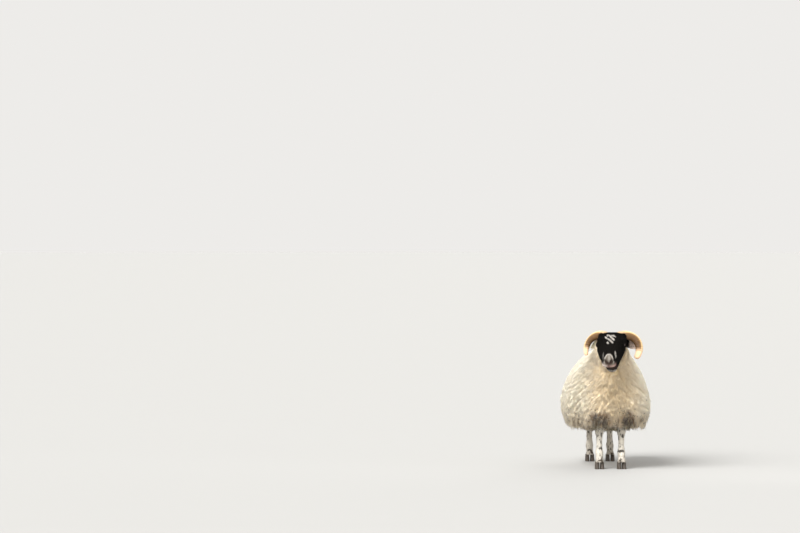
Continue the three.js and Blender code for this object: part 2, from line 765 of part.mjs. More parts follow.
const roots = [];
for (const way of evenWays(TRUNK_LOCKS)) {
  const p = meets(trunkField, TRUNK_CENTRE, way.multiply(BODY_SHAPE).normalize(), FLEECE.coreDepth);
  const normal = gradient(trunkField, p).normalize();
  if (normal.z > -0.75 && neckField(p) > -FLEECE.coreDepth) roots.push(p);
}
const NECK_CENTRE = V(0, -250, 585);
for (const way of evenWays(NECK_LOCKS)) {
  const p = meets(neckField, NECK_CENTRE, way, FLEECE.coreDepth);
  if (trunkField(p) > -FLEECE.coreDepth && p.y > -430) roots.push(p);
}
const locks = roots.map((p, i) => lock(p, i));
const headClear = headForm(GAP);
const hornsClear = Object.values(SIDES).map((side) => horn(side, GAP));
const fleece = wasm.Manifold.union([trunkCore(16, 12), neckCore(12, 8), ...locks]);
const [nx, ny, nz] = PARTING.normal;
const neck = fleece
  .trimByPlane([nx, ny, nz], PARTING.at + GAP / 2)
  .subtract(wasm.Manifold.union([headClear, ...hornsClear]));
const legsClear = ["fore", "hind"].flatMap((kind) =>
  Object.values(SIDES).map((side) => legForm(kind, side, GAP)),
);
const torso = fleece
  .trimByPlane([-nx, -ny, -nz], -(PARTING.at - GAP / 2))
  .subtract(wasm.Manifold.union([...legsClear, woollyTail(GAP)]));
node("torso", torso, WOOL);
node("neck", neck, WOOL);
node("tail", woollyTail(0), WOOL);

const lids = Object.values(SIDES).map((side) => eyeBall(side, EYE.radius + LID.thick));
const head = wasm.Manifold.union([headForm(0), ...lids]).subtract(
  wasm.Manifold.union([
    mouthLine(),
    ...Object.values(SIDES).flatMap((side) => [
      eyeBall(side, EYE.radius + GAP),
      lidOpening(side),
      nostril(side),
    ]),
  ]),
);
node("head", head, DARK_HAIR);

for (const [name, side] of Object.entries(SIDES)) {
  node(`eye_${name}`, eyeBall(side, EYE.radius), EYE_COLOUR);
  node(`horn_${name}`, horn(side, 0).subtract(headClear), HORN_COLOUR);
  node(`ear_${name}`, ear(side).subtract(headClear).subtract(horn(side, GAP)), PALE_HAIR);
  for (const kind of ["fore", "hind"]) {
    const leg = wasm.Manifold.union([legForm(kind, side, 0), ...dewclaws(kind, side)]);
    node(`${kind}leg_${name}`, leg, LEG_HAIR);
    node(`claw_${kind}_${name}_outer`, claw(kind, side, side), CLAW_COLOUR);
    node(`claw_${kind}_${name}_inner`, claw(kind, side, -side), CLAW_COLOUR);
  }
}
// The origin is on the floor, under the middle of the whole.
const middle = new THREE.Box3().setFromObject(group).getCenter(new THREE.Vector3());
group.position.set(-middle.x, -middle.y, 0);

export default group;
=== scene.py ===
"""A horned hill sheep in a long fleece, still and life-size: skin, wool, hair, horns, eyes and claws."""

import bmesh
import bpy
import numpy as np
from mathutils import Matrix, Vector


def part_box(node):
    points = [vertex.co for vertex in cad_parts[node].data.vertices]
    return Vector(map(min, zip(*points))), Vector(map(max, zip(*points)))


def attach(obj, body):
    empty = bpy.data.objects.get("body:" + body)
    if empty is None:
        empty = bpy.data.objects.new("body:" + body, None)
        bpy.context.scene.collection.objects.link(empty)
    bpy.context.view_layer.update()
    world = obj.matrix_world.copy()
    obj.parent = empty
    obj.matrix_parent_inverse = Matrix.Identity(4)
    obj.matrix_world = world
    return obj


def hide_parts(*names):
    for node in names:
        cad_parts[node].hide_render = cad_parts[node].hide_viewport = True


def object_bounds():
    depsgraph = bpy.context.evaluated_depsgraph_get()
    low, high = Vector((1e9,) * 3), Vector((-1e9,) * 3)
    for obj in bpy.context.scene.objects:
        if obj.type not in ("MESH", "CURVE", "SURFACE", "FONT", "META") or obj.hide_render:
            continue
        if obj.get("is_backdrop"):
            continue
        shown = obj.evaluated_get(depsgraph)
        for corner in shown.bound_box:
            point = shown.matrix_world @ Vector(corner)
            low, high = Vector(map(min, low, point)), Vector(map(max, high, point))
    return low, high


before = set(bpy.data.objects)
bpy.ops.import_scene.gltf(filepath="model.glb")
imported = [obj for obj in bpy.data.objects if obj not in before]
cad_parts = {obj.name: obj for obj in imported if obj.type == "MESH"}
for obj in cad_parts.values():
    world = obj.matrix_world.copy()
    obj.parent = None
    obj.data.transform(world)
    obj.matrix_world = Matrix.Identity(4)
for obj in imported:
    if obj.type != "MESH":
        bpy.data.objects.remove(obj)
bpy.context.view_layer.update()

# ---- Where the animal stands -------------------------------------------------------------------
# Sizes are in millimetres: +X is its left, -Y is forward, +Z is up, and the soles are at z = 0. The
# head has axes of its own, along from the poll to the nose, height above the face, and out to a side.
# The left eye is in the frame too, so its place in both shows where the animal stands.
MM = 0.001
POLL = np.array([-4.0, -384.0, 783.0])
HEAD_TURN = np.radians(12)
HEAD_PITCH = np.radians(27)
EYE = {"along": 86, "height": -32, "out": 69, "radius": 15}

BACK = np.array([np.sin(HEAD_TURN), np.cos(HEAD_TURN), 0.0])
UP = np.array([0.0, 0.0, 1.0])
ALONG = -BACK * np.cos(HEAD_PITCH) - UP * np.sin(HEAD_PITCH)
OUT = np.array([np.cos(HEAD_TURN), -np.sin(HEAD_TURN), 0.0])
HEIGHT = -np.cross(OUT, ALONG)


def going(*steps):
    """How far steps go in all, each one an amount and the way to go, for one place or for many."""
    return sum(np.multiply.outer(amount, way) for amount, way in steps)


def on_head(along, height, out):
    """Points of the head, from its own axes."""
    return POLL + going((along, ALONG), (height, HEIGHT), (out, OUT))


eye_low, eye_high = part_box("eye_left")
SHIFT = np.array((eye_low + eye_high) / 2) - on_head(EYE["along"], EYE["height"], EYE["out"]) * MM
SHIFT[2] = 0.0

# ---- The skin of the trunk ---------------------------------------------------------------------
# Under the wool the body is a deep barrel with a level back, set off from the fleece's outline by
# its depth. The outline is a field that says how far a point is outside the tips of the wool.
FLEECE = {
    "half_width": 252,
    "widest_z": 370,
    "up": 318,
    "down": 165,
    "chest_y": -392,
    "rump_y": 462,
    "upper_power": 1.62,
    "lower_power": 3.2,
    "end_power": 3.2,
}
HEM_RISE = {"from_y": 190, "rise": 78}
WOOL_DEPTH = 44
NECK_BASE = np.array([0.0, -150.0, 500.0])
NECK_NAPE = np.array([0.0, -338.0, 664.0])
NECK_HALF = {"base": (186, 205), "nape": (104, 108)}
X_AXIS = np.array([1.0, 0.0, 0.0])
FIELD_STEP = 2.0


def smooth(x, low, high):
    """0 up to low and 1 from high, with a smooth rise between them."""
    t = np.clip((x - low) / (high - low), 0, 1)
    return t * t * (3 - 2 * t)


def mix(a, b, t):
    return a + (b - a) * t


def bump(x, centre, reach):
    """1 at a centre, falling away to 0 beyond its reach on both sides."""
    return np.exp(-(((x - centre) / reach) ** 2))


def signed_power(value, power):
    return np.sign(value) * np.abs(value) ** power


def unit(vectors):
    return vectors / np.maximum(np.linalg.norm(vectors, axis=-1, keepdims=True), 1e-9)


def gradient(field, points):
    """How fast a field rises along each axis."""
    steps = np.eye(3) * FIELD_STEP
    return np.stack([(field(points + s) - field(points - s)) / (2 * FIELD_STEP) for s in steps], axis=-1)


def trunk_level(p):
    """-1 in the middle of the trunk's fleece and 0 at its outline."""
    rise = HEM_RISE["rise"] * smooth(p[..., 1], HEM_RISE["from_y"], FLEECE["rump_y"])
    above = p[..., 2] > FLEECE["widest_z"]
    n = np.where(above, FLEECE["upper_power"], FLEECE["lower_power"])
    tall = np.where(above, FLEECE["up"], FLEECE["down"] - rise)
    across = np.abs(p[..., 0] / FLEECE["half_width"]) ** n
    section = (across + np.abs((p[..., 2] - FLEECE["widest_z"]) / tall) ** n) ** (1 / n)
    middle = (FLEECE["chest_y"] + FLEECE["rump_y"]) / 2
    half = (FLEECE["rump_y"] - FLEECE["chest_y"]) / 2
    length = np.abs((p[..., 1] - middle) / half)
    m = FLEECE["end_power"]
    return (section**m + length**m) ** (1 / m) - 1


def neck_level(p):
    """The same for the neck, which is round and thinner towards the nape."""
    axis = NECK_NAPE - NECK_BASE
    length = np.linalg.norm(axis)
    axis = axis / length
    deep = np.cross(axis, X_AXIS)
    start = p - NECK_BASE
    t = np.clip(start @ axis / length, 0, 1)
    half = [mix(NECK_HALF["base"][k], NECK_HALF["nape"][k], t) for k in (0, 1)]
    past = start @ axis - t * length
    return np.sqrt((start[..., 0] / half[0]) ** 2 + (start @ deep / half[1]) ** 2 + (past / half[0]) ** 2) - 1


def outside(level, p):
    """How far points are outside where a level is 0, in mm, from how fast it rises there."""
    return level(p) / np.maximum(np.linalg.norm(gradient(level, p), axis=-1), 1e-4)


def trunk_field(p):
    return outside(trunk_level, p)


def neck_field(p):
    return outside(neck_level, p)


def meets(field, centre, ways, depth, furthest=900.0, halvings=26):
    """Where rays from a centre come to a given depth inside a field."""
    near = np.zeros(len(ways))
    far = np.full(len(ways), furthest)
    for _ in range(halvings):
        half = (near + far) / 2
        inside = field(centre + ways * half[:, None]) < -depth
        near = np.where(inside, half, near)
        far = np.where(inside, far, half)
    return centre + ways * ((near + far) / 2)[:, None]


def coordinates(mesh):
    flat = np.empty(len(mesh.vertices) * 3, np.float32)
    mesh.vertices.foreach_get("co", flat)
    return flat.reshape(-1, 3).astype(float)


def in_millimetres(mesh):
    return (coordinates(mesh) - SHIFT) / MM


def round_ball(name, sides, rings, radius=1):
    """A sphere at the origin, for a start."""
    bpy.ops.object.select_all(action="DESELECT")
    bpy.ops.mesh.primitive_uv_sphere_add(segments=sides, ring_count=rings, radius=radius)
    piece = bpy.context.object
    piece.name = piece.data.name = name
    return piece


def between_poles(along):
    """0 at both ends of a closed piece and 1 between them."""
    return np.where((along == 0) | (along == 1), 0, 1)


def lofted(name, sides, rings, place):
    """A closed piece: a sphere's grid, each point put where place(around, along) says, in mm."""
    piece = round_ball(name, sides, rings)
    grid = coordinates(piece.data)
    along = np.round(np.arccos(np.clip(grid[:, 2], -1, 1)) / np.pi * rings) / rings
    around = (np.round(np.arctan2(grid[:, 1], grid[:, 0]) / (2 * np.pi) * sides) / sides) % 1.0
    around = around * between_poles(along)
    points = place(around, along) * MM + SHIFT
    piece.data.vertices.foreach_set("co", points.astype(np.float32).ravel())
    outward(piece)
    return piece


def outward(piece):
    """Turns a closed piece's faces outwards."""
    shell = bmesh.new()
    shell.from_mesh(piece.data)
    bmesh.ops.recalc_face_normals(shell, faces=shell.faces)
    shell.to_mesh(piece.data)
    shell.free()
    piece.data.update()


def rays(around, along, axis, stretch):
    """Ways out from a middle to the places of a sphere whose poles are on an axis."""
    turn, tilt = around * 2 * np.pi, along * np.pi
    sideways = np.sin(tilt) * np.cos(turn) * stretch[0]
    upwards = np.sin(tilt) * np.sin(turn) * stretch[1]
    return unit(going((sideways, X_AXIS), (upwards, np.cross(axis, X_AXIS)), (np.cos(tilt), axis)))


def core(name, sides, rings, field, centre, axis, stretch):
    """The skin of the barrel or the neck: its fleece's field, drawn in by the depth of the wool."""

    def place(around, along):
        return meets(field, centre, rays(around, along, axis, stretch), WOOL_DEPTH)

    return lofted(name, sides, rings, place)


FORWARD = np.array([0.0, -1.0, 0.0])
BARREL_STRETCH = (0.56, 0.6)
TRUNK_MIDDLE = np.array([0.0, 35.0, 400.0])
trunk_skin = core("skin", 96, 72, trunk_field, TRUNK_MIDDLE, FORWARD, BARREL_STRETCH)
neck_way = unit(NECK_NAPE - NECK_BASE)
neck_skin = core("neck_skin", 64, 40, neck_field, mix(NECK_BASE, NECK_NAPE, 0.5), neck_way, (1, 1))

# ---- The skin of the head ----------------------------------------------------------------------
# A broad black head with a long, gently arched nose: cheek muscles, rims of the eyes, hollows in
# front of them, wings of the nostrils, lips and chin are swellings on sections along it.
SIDES = {"left": 1, "right": -1}
HEAD_BACK, HEAD_FRONT = -46, 262
HEAD_MIDDLE = -60
NOSE_CAP, NOSE_ROUND, SKULL_CAP = 34, 40, 34
JAW_SHIFT, CHIN_SET_BACK, NOSE_SET_BACK = 14, 15, 9
HAIR_DEPTH = 1.5
# Sections: place along, top, bottom, half width, widest height, and how square above and below.
HEAD_SECTIONS = [
    (-46, -34, -104, 58, -66, 2.4, 2.0),
    (-20, -8, -124, 77, -52, 3.0, 2.0),
    (20, 2, -138, 83, -44, 3.3, 1.9),
    (60, 4, -143, 82, -44, 3.0, 1.8),
    (95, 4, -142, 78, -50, 2.6, 1.8),
    (130, 3, -138, 71, -58, 2.3, 1.9),
    (165, 0, -132, 60, -62, 2.2, 2.0),
    (200, -4, -130, 48, -62, 2.2, 2.1),
    (232, -10, -131, 39, -60, 2.2, 2.2),
    (262, -20, -126, 33, -60, 2.2, 2.2),
]
# Swellings and hollows: their place along, height and out, how far they reach each way, and rise.
FACE_FORMS = [
    (74, -8, 58, 24, 10, 20, 6),
    (106, -56, 66, 34, 11, 16, 4),
    (58, -104, 70, 34, 28, 24, 5),
    (130, -38, 60, 14, 13, 13, -5),
    (170, -58, 50, 26, 12, 14, -3),
    (205, -22, 30, 26, 12, 12, 2),
    (251, -30, 24, 11, 10, 11, 5),
    (226, -50, 40, 12, 14, 12, -3),
    (246, -74, 22, 15, 9, 16, 5),
    (262, -70, 0, 16, 16, 4, -5),
    (238, -99, 14, 12, 5, 16, 3),
    (226, -116, 8, 16, 9, 16, 3),
    (186, -89, 48, 10, 8, 12, -4),
    (150, -118, 44, 40, 10, 12, 3),
    (120, -128, 18, 60, 12, 12, -4),
]
LIPS_PART = (72, 104)
# Where the rings of the mesh lie along the head, by their share of the way from back to front.
RING_PLACES = [
    (0, HEAD_BACK), (0.08, -38), (0.3, 28), (0.62, 150), (0.84, 225), (0.93, 249), (1, HEAD_FRONT),
]


def through(rows):
    """A smooth curve through rows of numbers, read by the first number of each row."""
    rows = np.array(rows, float)
    x, values = rows[:, 0], rows[:, 1:]
    last = len(x) - 1
    ahead = np.minimum(np.arange(len(x)) + 1, last)
    behind = np.maximum(np.arange(len(x)) - 1, 0)
    slopes = (values[ahead] - values[behind]) / (x[ahead] - x[behind])[:, None]

    def at(where):
        i = np.clip(np.searchsorted(x, where) - 1, 0, last - 1)
        span = (x[i + 1] - x[i])[:, None]
        t = np.clip((where - x[i])[:, None] / span, 0, 1)
        bends = span * t * (1 - t) * (slopes[i] * (1 - t) - slopes[i + 1] * t)
        return values[i] * (1 + 2 * t) * (1 - t) ** 2 + values[i + 1] * t * t * (3 - 2 * t) + bends

    return at


head_section = through(HEAD_SECTIONS)
ring_along = through(RING_PLACES)


def head_point(around, along, grow):
    """A place on the head, swollen all over by an amount."""
    a = ring_along(along)[:, 0]
    top, bottom, half, widest, above, below = head_section(a).T
    turn = around * 2 * np.pi
    up = np.cos(turn)
    n = np.where(up > 0, above, below)
    out = half * signed_power(np.sin(turn), 2 / n)
    height = np.where(up > 0, top - widest, widest - bottom) * signed_power(up, 2 / n)
    nose = np.clip((a - (HEAD_FRONT - NOSE_CAP)) / NOSE_CAP, 0, 1)
    skull = np.clip((HEAD_BACK + SKULL_CAP - a) / SKULL_CAP, 0, 1)
    close = np.sqrt(np.maximum(0, 1 - nose**2.4)) * np.sqrt(np.maximum(0, 1 - skull**2))
    out, height = out * close, height * close
    height = height + widest
    ahead = np.maximum(a - (HEAD_FRONT - NOSE_ROUND), 0) + np.where(along == 1, NOSE_ROUND, 0)
    ahead = ahead - np.where(along == 0, NOSE_ROUND, 0)
    way = unit(np.stack([ahead, height - HEAD_MIDDLE, out], axis=1))
    swell = np.full(len(a), float(grow))
    for form_along, form_height, form_out, *reach, rise in FACE_FORMS:
        for side in sorted({-1, np.sign(form_out) or -1}):
            off = [a - form_along, height - form_height, out - side * form_out]
            swell += rise * np.exp(-sum((o / r) ** 2 for o, r in zip(off, reach)))
    chin = smooth(-height, *LIPS_PART)
    place = np.stack([a, height, out], axis=1) + way * swell[:, None]
    place[:, 0] -= CHIN_SET_BACK * chin * smooth(a, 190, HEAD_FRONT)
    place[:, 0] -= NOSE_SET_BACK * smooth(height, -36, -8) * smooth(a, 228, HEAD_FRONT)
    place[:, 2] += JAW_SHIFT * smooth(a, 120, 230) * smooth(-height, 78, 100)
    return on_head(*place.T)


def head_form(name, grow, sides, rings):
    return lofted(name, sides, rings, lambda around, along: head_point(around, along, grow))


def eye_centre(side):
    return on_head(EYE["along"], EYE["height"], side * EYE["out"])


def eye_axis(side):
    """The way an eye looks: mostly out, a little ahead and up."""
    return unit(0.42 * ALONG + 0.22 * HEIGHT + 0.88 * side * OUT)


def set_in(piece, x, y, z, at):
    """Puts a piece made at the origin, in mm, into a place with its own axes."""
    points = coordinates(piece.data)
    placed = at + points @ np.array([x, y, z])
    piece.data.vertices.foreach_set("co", (placed * MM + SHIFT).astype(np.float32).ravel())
    outward(piece)
    return piece


def square_to(axis, ways):
    """Ways turned square to an axis, within the plane of the two."""
    return unit(ways - axis * (ways * axis).sum(-1, keepdims=True))


def eye_frame(side):
    """An eye's own axes: towards the nose, up, and the way it looks."""
    look = eye_axis(side)
    forward = square_to(look, ALONG)
    up = np.cross(look, forward)
    return forward, up if up @ HEIGHT > 0 else -up, look


def eye_ball(name, side, radius, segments, rings):
    return set_in(round_ball(name, segments, rings, radius), *eye_frame(side), eye_centre(side))


LID = {"thick": 2.6, "half_length": 15, "upper": 10.5, "lower": 8, "tilt": np.radians(14)}
LID_CUT = {"from": 2, "deep": 40}
SOCKET_GAP = 0.25


def new_object(name, data):
    made = bpy.data.objects.new(name, data)
    bpy.context.collection.objects.link(made)
    return made


def prism(name, outline, depth):
    """A flat outline in x and y, as a block from z = 0 up to a depth."""
    shape = bmesh.new()
    corners = [shape.verts.new((x, y, 0)) for x, y in outline]
    floor = shape.faces.new(corners)
    walls = bmesh.ops.extrude_face_region(shape, geom=[floor])
    raised = [v for v in walls["geom"] if isinstance(v, bmesh.types.BMVert)]
    bmesh.ops.translate(shape, vec=(0, 0, depth), verts=raised)
    mesh = bpy.data.meshes.new(name)
    shape.to_mesh(mesh)
    shape.free()
    return new_object(name, mesh)


def lid_opening(side):
    """The almond between the lids."""
    turn = np.linspace(0, 2 * np.pi, 48, endpoint=False)
    height = np.where(np.sin(turn) > 0, LID["upper"], LID["lower"])
    x = LID["half_length"] * np.cos(turn)
    y = height * signed_power(np.sin(turn), 0.9)
    c, s = np.cos(LID["tilt"]), np.sin(LID["tilt"])
    opening = prism("lid_opening", np.stack([x * c + y * s, y * c - x * s], axis=1), LID_CUT["deep"])
    return set_in(opening, *eye_frame(side), eye_centre(side) + eye_axis(side) * LID_CUT["from"])


def boolean(piece, operation, *others):
    """Joins or cuts a piece with others, which are used up."""
    bpy.context.view_layer.objects.active = piece
    for other in others:
        step = piece.modifiers.new("step", "BOOLEAN")
        step.operation = operation
        step.solver = "MANIFOLD"
        step.object = other
        bpy.ops.object.modifier_apply(modifier=step.name)
        bpy.data.objects.remove(other)
    return piece


MOUTH_BACK, MOUTH_FRONT = 180, 290
MOUTH_LINE = through([(MOUTH_BACK, -90), (205, -88), (232, -87), (256, -88), (MOUTH_FRONT, -90)])
MOUTH_GAPE = {"least": 0.3, "more": 4.6, "opens": (178, 240)}
MOUTH_HALF_WIDTH = 80
LIP_THICKNESS = 12


def mouth_cut():
    """The dark line between the lips, wider at the front, as deep as the lips are thick."""
    stops = np.linspace(MOUTH_BACK, MOUTH_FRONT, 24)
    gape = MOUTH_GAPE["more"] * smooth(stops, *MOUTH_GAPE["opens"]) + MOUTH_GAPE["least"]
    line = MOUTH_LINE(stops)[:, 0]
    outline = np.concatenate([np.stack([stops, line + gape], 1), np.stack([stops, line - gape], 1)[::-1]])
    slot = prism("mouth", outline, 2 * MOUTH_HALF_WIDTH)
    set_in(slot, ALONG, HEIGHT, OUT, POLL - OUT * MOUTH_HALF_WIDTH)
    return boolean(slot, "DIFFERENCE", head_form("mouth_floor", -LIP_THICKNESS, 48, 40))


NOSTRIL = {"place": (258, -40, 17), "deep": 13, "long": 13, "wide": 4.5, "tilt": np.radians(32), "turn": 0.5}


def nostril(side):
    hole = round_ball("nostril", 28, 20)
    size = Matrix.Diagonal((NOSTRIL["deep"], NOSTRIL["long"], NOSTRIL["wide"], 1))
    tilted = Matrix.Rotation(side * NOSTRIL["tilt"], 4, "X") @ size
    hole.data.transform(Matrix.Rotation(-side * NOSTRIL["turn"], 4, "Y") @ tilted)
    along, height, out = NOSTRIL["place"]
    return set_in(hole, ALONG, HEIGHT, OUT, on_head(along, height, side * out))


head_skin = head_form("head_skin", -HAIR_DEPTH, 120, 120)
for side in SIDES.values():
    boolean(head_skin, "UNION", eye_ball("lid", side, EYE["radius"] + LID["thick"], 40, 28))
for side in SIDES.values():
    socket = eye_ball("socket", side, EYE["radius"] + SOCKET_GAP, 40, 28)
    boolean(head_skin, "DIFFERENCE", socket, lid_opening(side), nostril(side))
boolean(head_skin, "DIFFERENCE", mouth_cut())

# ---- The skin of the ears ----------------------------------------------------------------------
# Each ear is a thick leaf with its root in the side of the head, back under the horn. It is rolled
# up at its root, and opens outwards towards a drooping tip.
EAR = {"length": 106, "half_width": 25, "thick": 5, "droop": 14, "roll": (1.35, 0.55)}
EAR_ROOT = {"along": 4, "height": -48, "out": 58}


def ear_form(name, side):
    root = on_head(EAR_ROOT["along"], EAR_ROOT["height"], side * EAR_ROOT["out"])
    reach = unit(0.66 * side * OUT + 0.66 * BACK - 0.3 * UP)
    cup = square_to(reach, 0.75 * side * OUT - 0.66 * BACK + 0.1 * UP)
    wide = np.cross(reach, cup)

    def place(around, along):
        half = EAR["half_width"] * np.sin(np.pi * mix(0.2, 1, along) ** 1.15) ** 0.75
        half = np.nan_to_num(half)
        roll = mix(*EAR["roll"], along)
        radius = half / np.sin(roll)
        bend = np.cos(around * 2 * np.pi) * roll
        r = radius + np.where(along == 1, 0, EAR["thick"] * 0.5 * np.sin(around * 2 * np.pi))
        sideways = between_poles(along) * r * np.sin(bend)
        inwards = between_poles(along) * (radius * np.cos(roll) - r * np.cos(bend))
        outwards, down = EAR["length"] * along, -EAR["droop"] * along * along
        return root + going((outwards, reach), (down, UP), (sideways, wide), (inwards, cup))

    return lofted(name, 64, 64, place)


ear_skins = [ear_form(f"ear_skin_{name}", side) for name, side in SIDES.items()]

# ---- The skin of the legs ----------------------------------------------------------------------
# Lean legs in short mottled hair: knee or hock, slim cannon, fetlock, pastern and a band above the
# claws, with two small claws behind each fetlock.
CLAW = {"height": 40, "length": 62, "half_width": 13, "cleft": 3, "toe": 34, "top_toe": 14, "top_heel": 24}
STANCE = {"fore": (63, -256), "hind": (60, 330)}
LEG_TOP = {"fore": 345, "hind": 375}
DEWCLAW = {"root": 8, "tip": 3, "length": 18, "tilt": 0.5, "apart": 10, "height": 81}
DEWCLAW_BACK = {"fore": 25, "hind": 33}
CANNON_MIDDLE = 150
# Sections: height, how far the middle is set back, half width and half depth.
LEG_SECTIONS = {
    "fore": [
        (40, -14, 23, 26), (66, -6, 19.5, 20), (84, 0, 21.5, 24), (96, 3, 22, 24), (116, 4, 18, 20),
        (150, 4, 16.5, 18.5), (186, 4, 19, 20), (210, 3, 25, 25), (234, 2, 25.5, 26), (262, 6, 24, 30),
        (300, 10, 30, 40), (345, 14, 34, 48),
    ],
    "hind": [
        (40, -10, 22.5, 26), (66, -2, 19, 20), (84, 6, 21, 24), (96, 9, 21.5, 24), (118, 12, 17.5, 20),
        (165, 17, 16.5, 19), (215, 23, 18, 22), (244, 28, 21, 28), (268, 33, 22, 32), (292, 32, 21, 31),
        (330, 16, 30, 42), (375, -6, 42, 60),
    ],
}


def leg_form(name, kind, side):
    sections = through(LEG_SECTIONS[kind])
    x, y = STANCE[kind]
    rings = 96

    def place(around, along):
        t = np.clip((along * rings - 1) / (rings - 2), 0, 1)
        z = mix(CLAW["height"], LEG_TOP[kind], t) + np.where(along == 1, 6, 0)
        back, half, deep = sections(z).T
        turn = around * 2 * np.pi
        end = between_poles(along)
        tendon = 2.5 * bump(z, CANNON_MIDDLE, 42) * bump(turn, np.pi / 2, 0.55)
        beside = bump(turn, 0.28 * np.pi, 0.22) + bump(turn, 0.72 * np.pi, 0.22)
        swell = tendon - 1.8 * bump(z, CANNON_MIDDLE, 50) * beside - 0.8
        return np.stack(
            [
                side * x + end * (half + swell) * np.cos(turn),
                y + back + end * (deep + swell) * signed_power(np.sin(turn), 0.92),
                z,
            ],
            axis=1,
        )

    return lofted(name, 40, rings, place)


def dewclaw(kind, side, pair):
    """One of the small claws behind the fetlock."""
    x, y = STANCE[kind]
    bpy.ops.object.select_all(action="DESELECT")
    bpy.ops.mesh.primitive_cone_add(
        vertices=20, radius1=DEWCLAW["root"], radius2=DEWCLAW["tip"], depth=DEWCLAW["length"]
    )
    cone = bpy.context.object
    cone.data.transform(Matrix.Rotation(np.pi - DEWCLAW["tilt"], 4, "X"))
    at = np.array([side * x + pair * DEWCLAW["apart"], y + DEWCLAW_BACK[kind], DEWCLAW["height"]])
    return set_in(cone, X_AXIS, -FORWARD, UP, at)


leg_skins = []
for side_name, side in SIDES.items():
    for kind in STANCE:
        leg = leg_form(f"leg_skin_{kind}_{side_name}", kind, side)
        leg_skins.append(boolean(leg, "UNION", dewclaw(kind, side, -1), dewclaw(kind, side, 1)))

# ---- The skin of the tail ----------------------------------------------------------------------
# A tail of docked length that hangs against the rump, hidden in the wool, which is left off its
# skin all round.
TAIL = {"root_y": 380, "hang_y": 466, "root_z": 610, "tip_z": 312, "half_width": 42, "half_depth": 24}
TAIL_WOOL = 18


def tail_full(along):
    """How much of its full thickness the woolly tail has along it."""
    return np.sin(np.pi * mix(0.14, 0.97, along)) ** 0.5


def tail_back(along):
    return mix(TAIL["root_y"], TAIL["hang_y"], smooth(along, 0, 0.55))


def tail_place(around, along):
    end = between_poles(along)
    turn = around * 2 * np.pi
    half_width = np.maximum(TAIL["half_width"] * tail_full(along) - TAIL_WOOL, 2)
    half_depth = np.maximum(TAIL["half_depth"] * tail_full(along) - TAIL_WOOL, 2)
    y = tail_back(along) + end * half_depth * np.sin(turn)
    z = mix(TAIL["root_z"] - TAIL_WOOL, TAIL["tip_z"] + TAIL_WOOL, along)
    return np.stack([end * half_width * np.cos(turn), y, z], axis=1)


tail_skin = lofted("tail_skin", 32, 40, tail_place)

# ---- The whole skin, in one --------------------------------------------------------------------
# Trunk, neck, head, ears, legs and tail are joined into one closed skin. Each face remembers by its
# material whether wool or short hair grows on it.


class Shade:
    """A socket of a material. Sums and products of shades add Math nodes."""

    def __init__(self, tree, socket=None):
        self.tree = tree
        self.socket = socket

    def node(self, kind, settings=None, sockets=None, output=0):
        made = self.tree.nodes.new("ShaderNode" + kind)
        for name, value in (settings or {}).items():
            setattr(made, name, value)
        for key, value in (sockets or {}).items():
            self.feed(made.inputs[key], value)
        return Shade(self.tree, made.outputs[output])

    def feed(self, target, value):
        if isinstance(value, Shade):
            self.tree.links.new(value.socket, target)
        else:
            target.default_value = value

    def math(self, operation, a, b):
        return self.node("Math", {"operation": operation}, {0: a, 1: b})

    def __add__(self, other):
        return self.math("ADD", self, other)

    __radd__ = __add__

    def __mul__(self, other):
        return self.math("MULTIPLY", self, other)

    __rmul__ = __mul__

    def between(self, low, high):
        """0 below low and 1 above high, smooth between them."""
        limits = {"Value": self, "From Min": low, "From Max": high}
        return self.node("MapRange", {"interpolation_type": "SMOOTHSTEP"}, limits)

    def mixed(self, a, b):
        """Colour a where this is 0, and b where it is 1."""
        return self.node("Mix", {"data_type": "RGBA"}, {0: self, 6: a, 7: b}, 2)

    def tint(self):
        """The colour that a piece's own mesh carries."""
        return self.node("Attribute", {"attribute_name": "tint"})

    def noise(self, scale, detail, roughness=0.55, stretch=None):
        vector = self.node("TexCoord", output=3)
        if stretch:
            vector = self.node("VectorMath", {"operation": "MULTIPLY"}, {0: vector, 1: stretch})
        sockets = {"Vector": vector, "Scale": scale, "Detail": detail, "Roughness": roughness}
        return self.node("TexNoise", None, sockets)


def finish(name, paint, constants):
    """A material. Its paint(shade) gives what varies, and its constants go straight on the shader."""
    material = bpy.data.materials.new(name)
    material.use_nodes = True
    tree = material.node_tree
    shader = tree.nodes["Principled BSDF"]
    for key, value in constants.items():
        shader.inputs[key].default_value = value
    shade = Shade(tree)
    for key, value in paint(shade).items():
        if key == "bump":
            height, strength, distance = value
            value = shade.node("Bump", None, {"Height": height, "Strength": strength, "Distance": distance})
            key = "Normal"
        shade.feed(shader.inputs[key], value)
    return material


def wool_paint(shade):
    """Greasy cream wool, a little duller here and there."""
    tint = shade.tint()
    fine = shade.noise(240, 3, 0.6)
    dull = (fine.between(0.4, 0.75) * 0.07).mixed(tint, (0.66, 0.55, 0.38, 1))
    return {"Base Color": dull, "Roughness": 0.8 + fine * 0.14, "bump": (shade.noise(900, 2), 0.3, 0.0005)}


def hair_paint(shade):
    """Short sleek hair: fine streaks over the coat's marks."""
    tint = shade.tint()
    fine = shade.noise(900, 3, 0.6)
    streaks = shade.noise(260, 3, 0.6)
    worn = (streaks.between(0.5, 0.8) * 0.3).mixed(tint, (0.008, 0.006, 0.005, 1))
    return {"Base Color": worn, "Roughness": 0.62 + fine * 0.25, "bump": (fine + streaks, 0.5, 0.0009)}


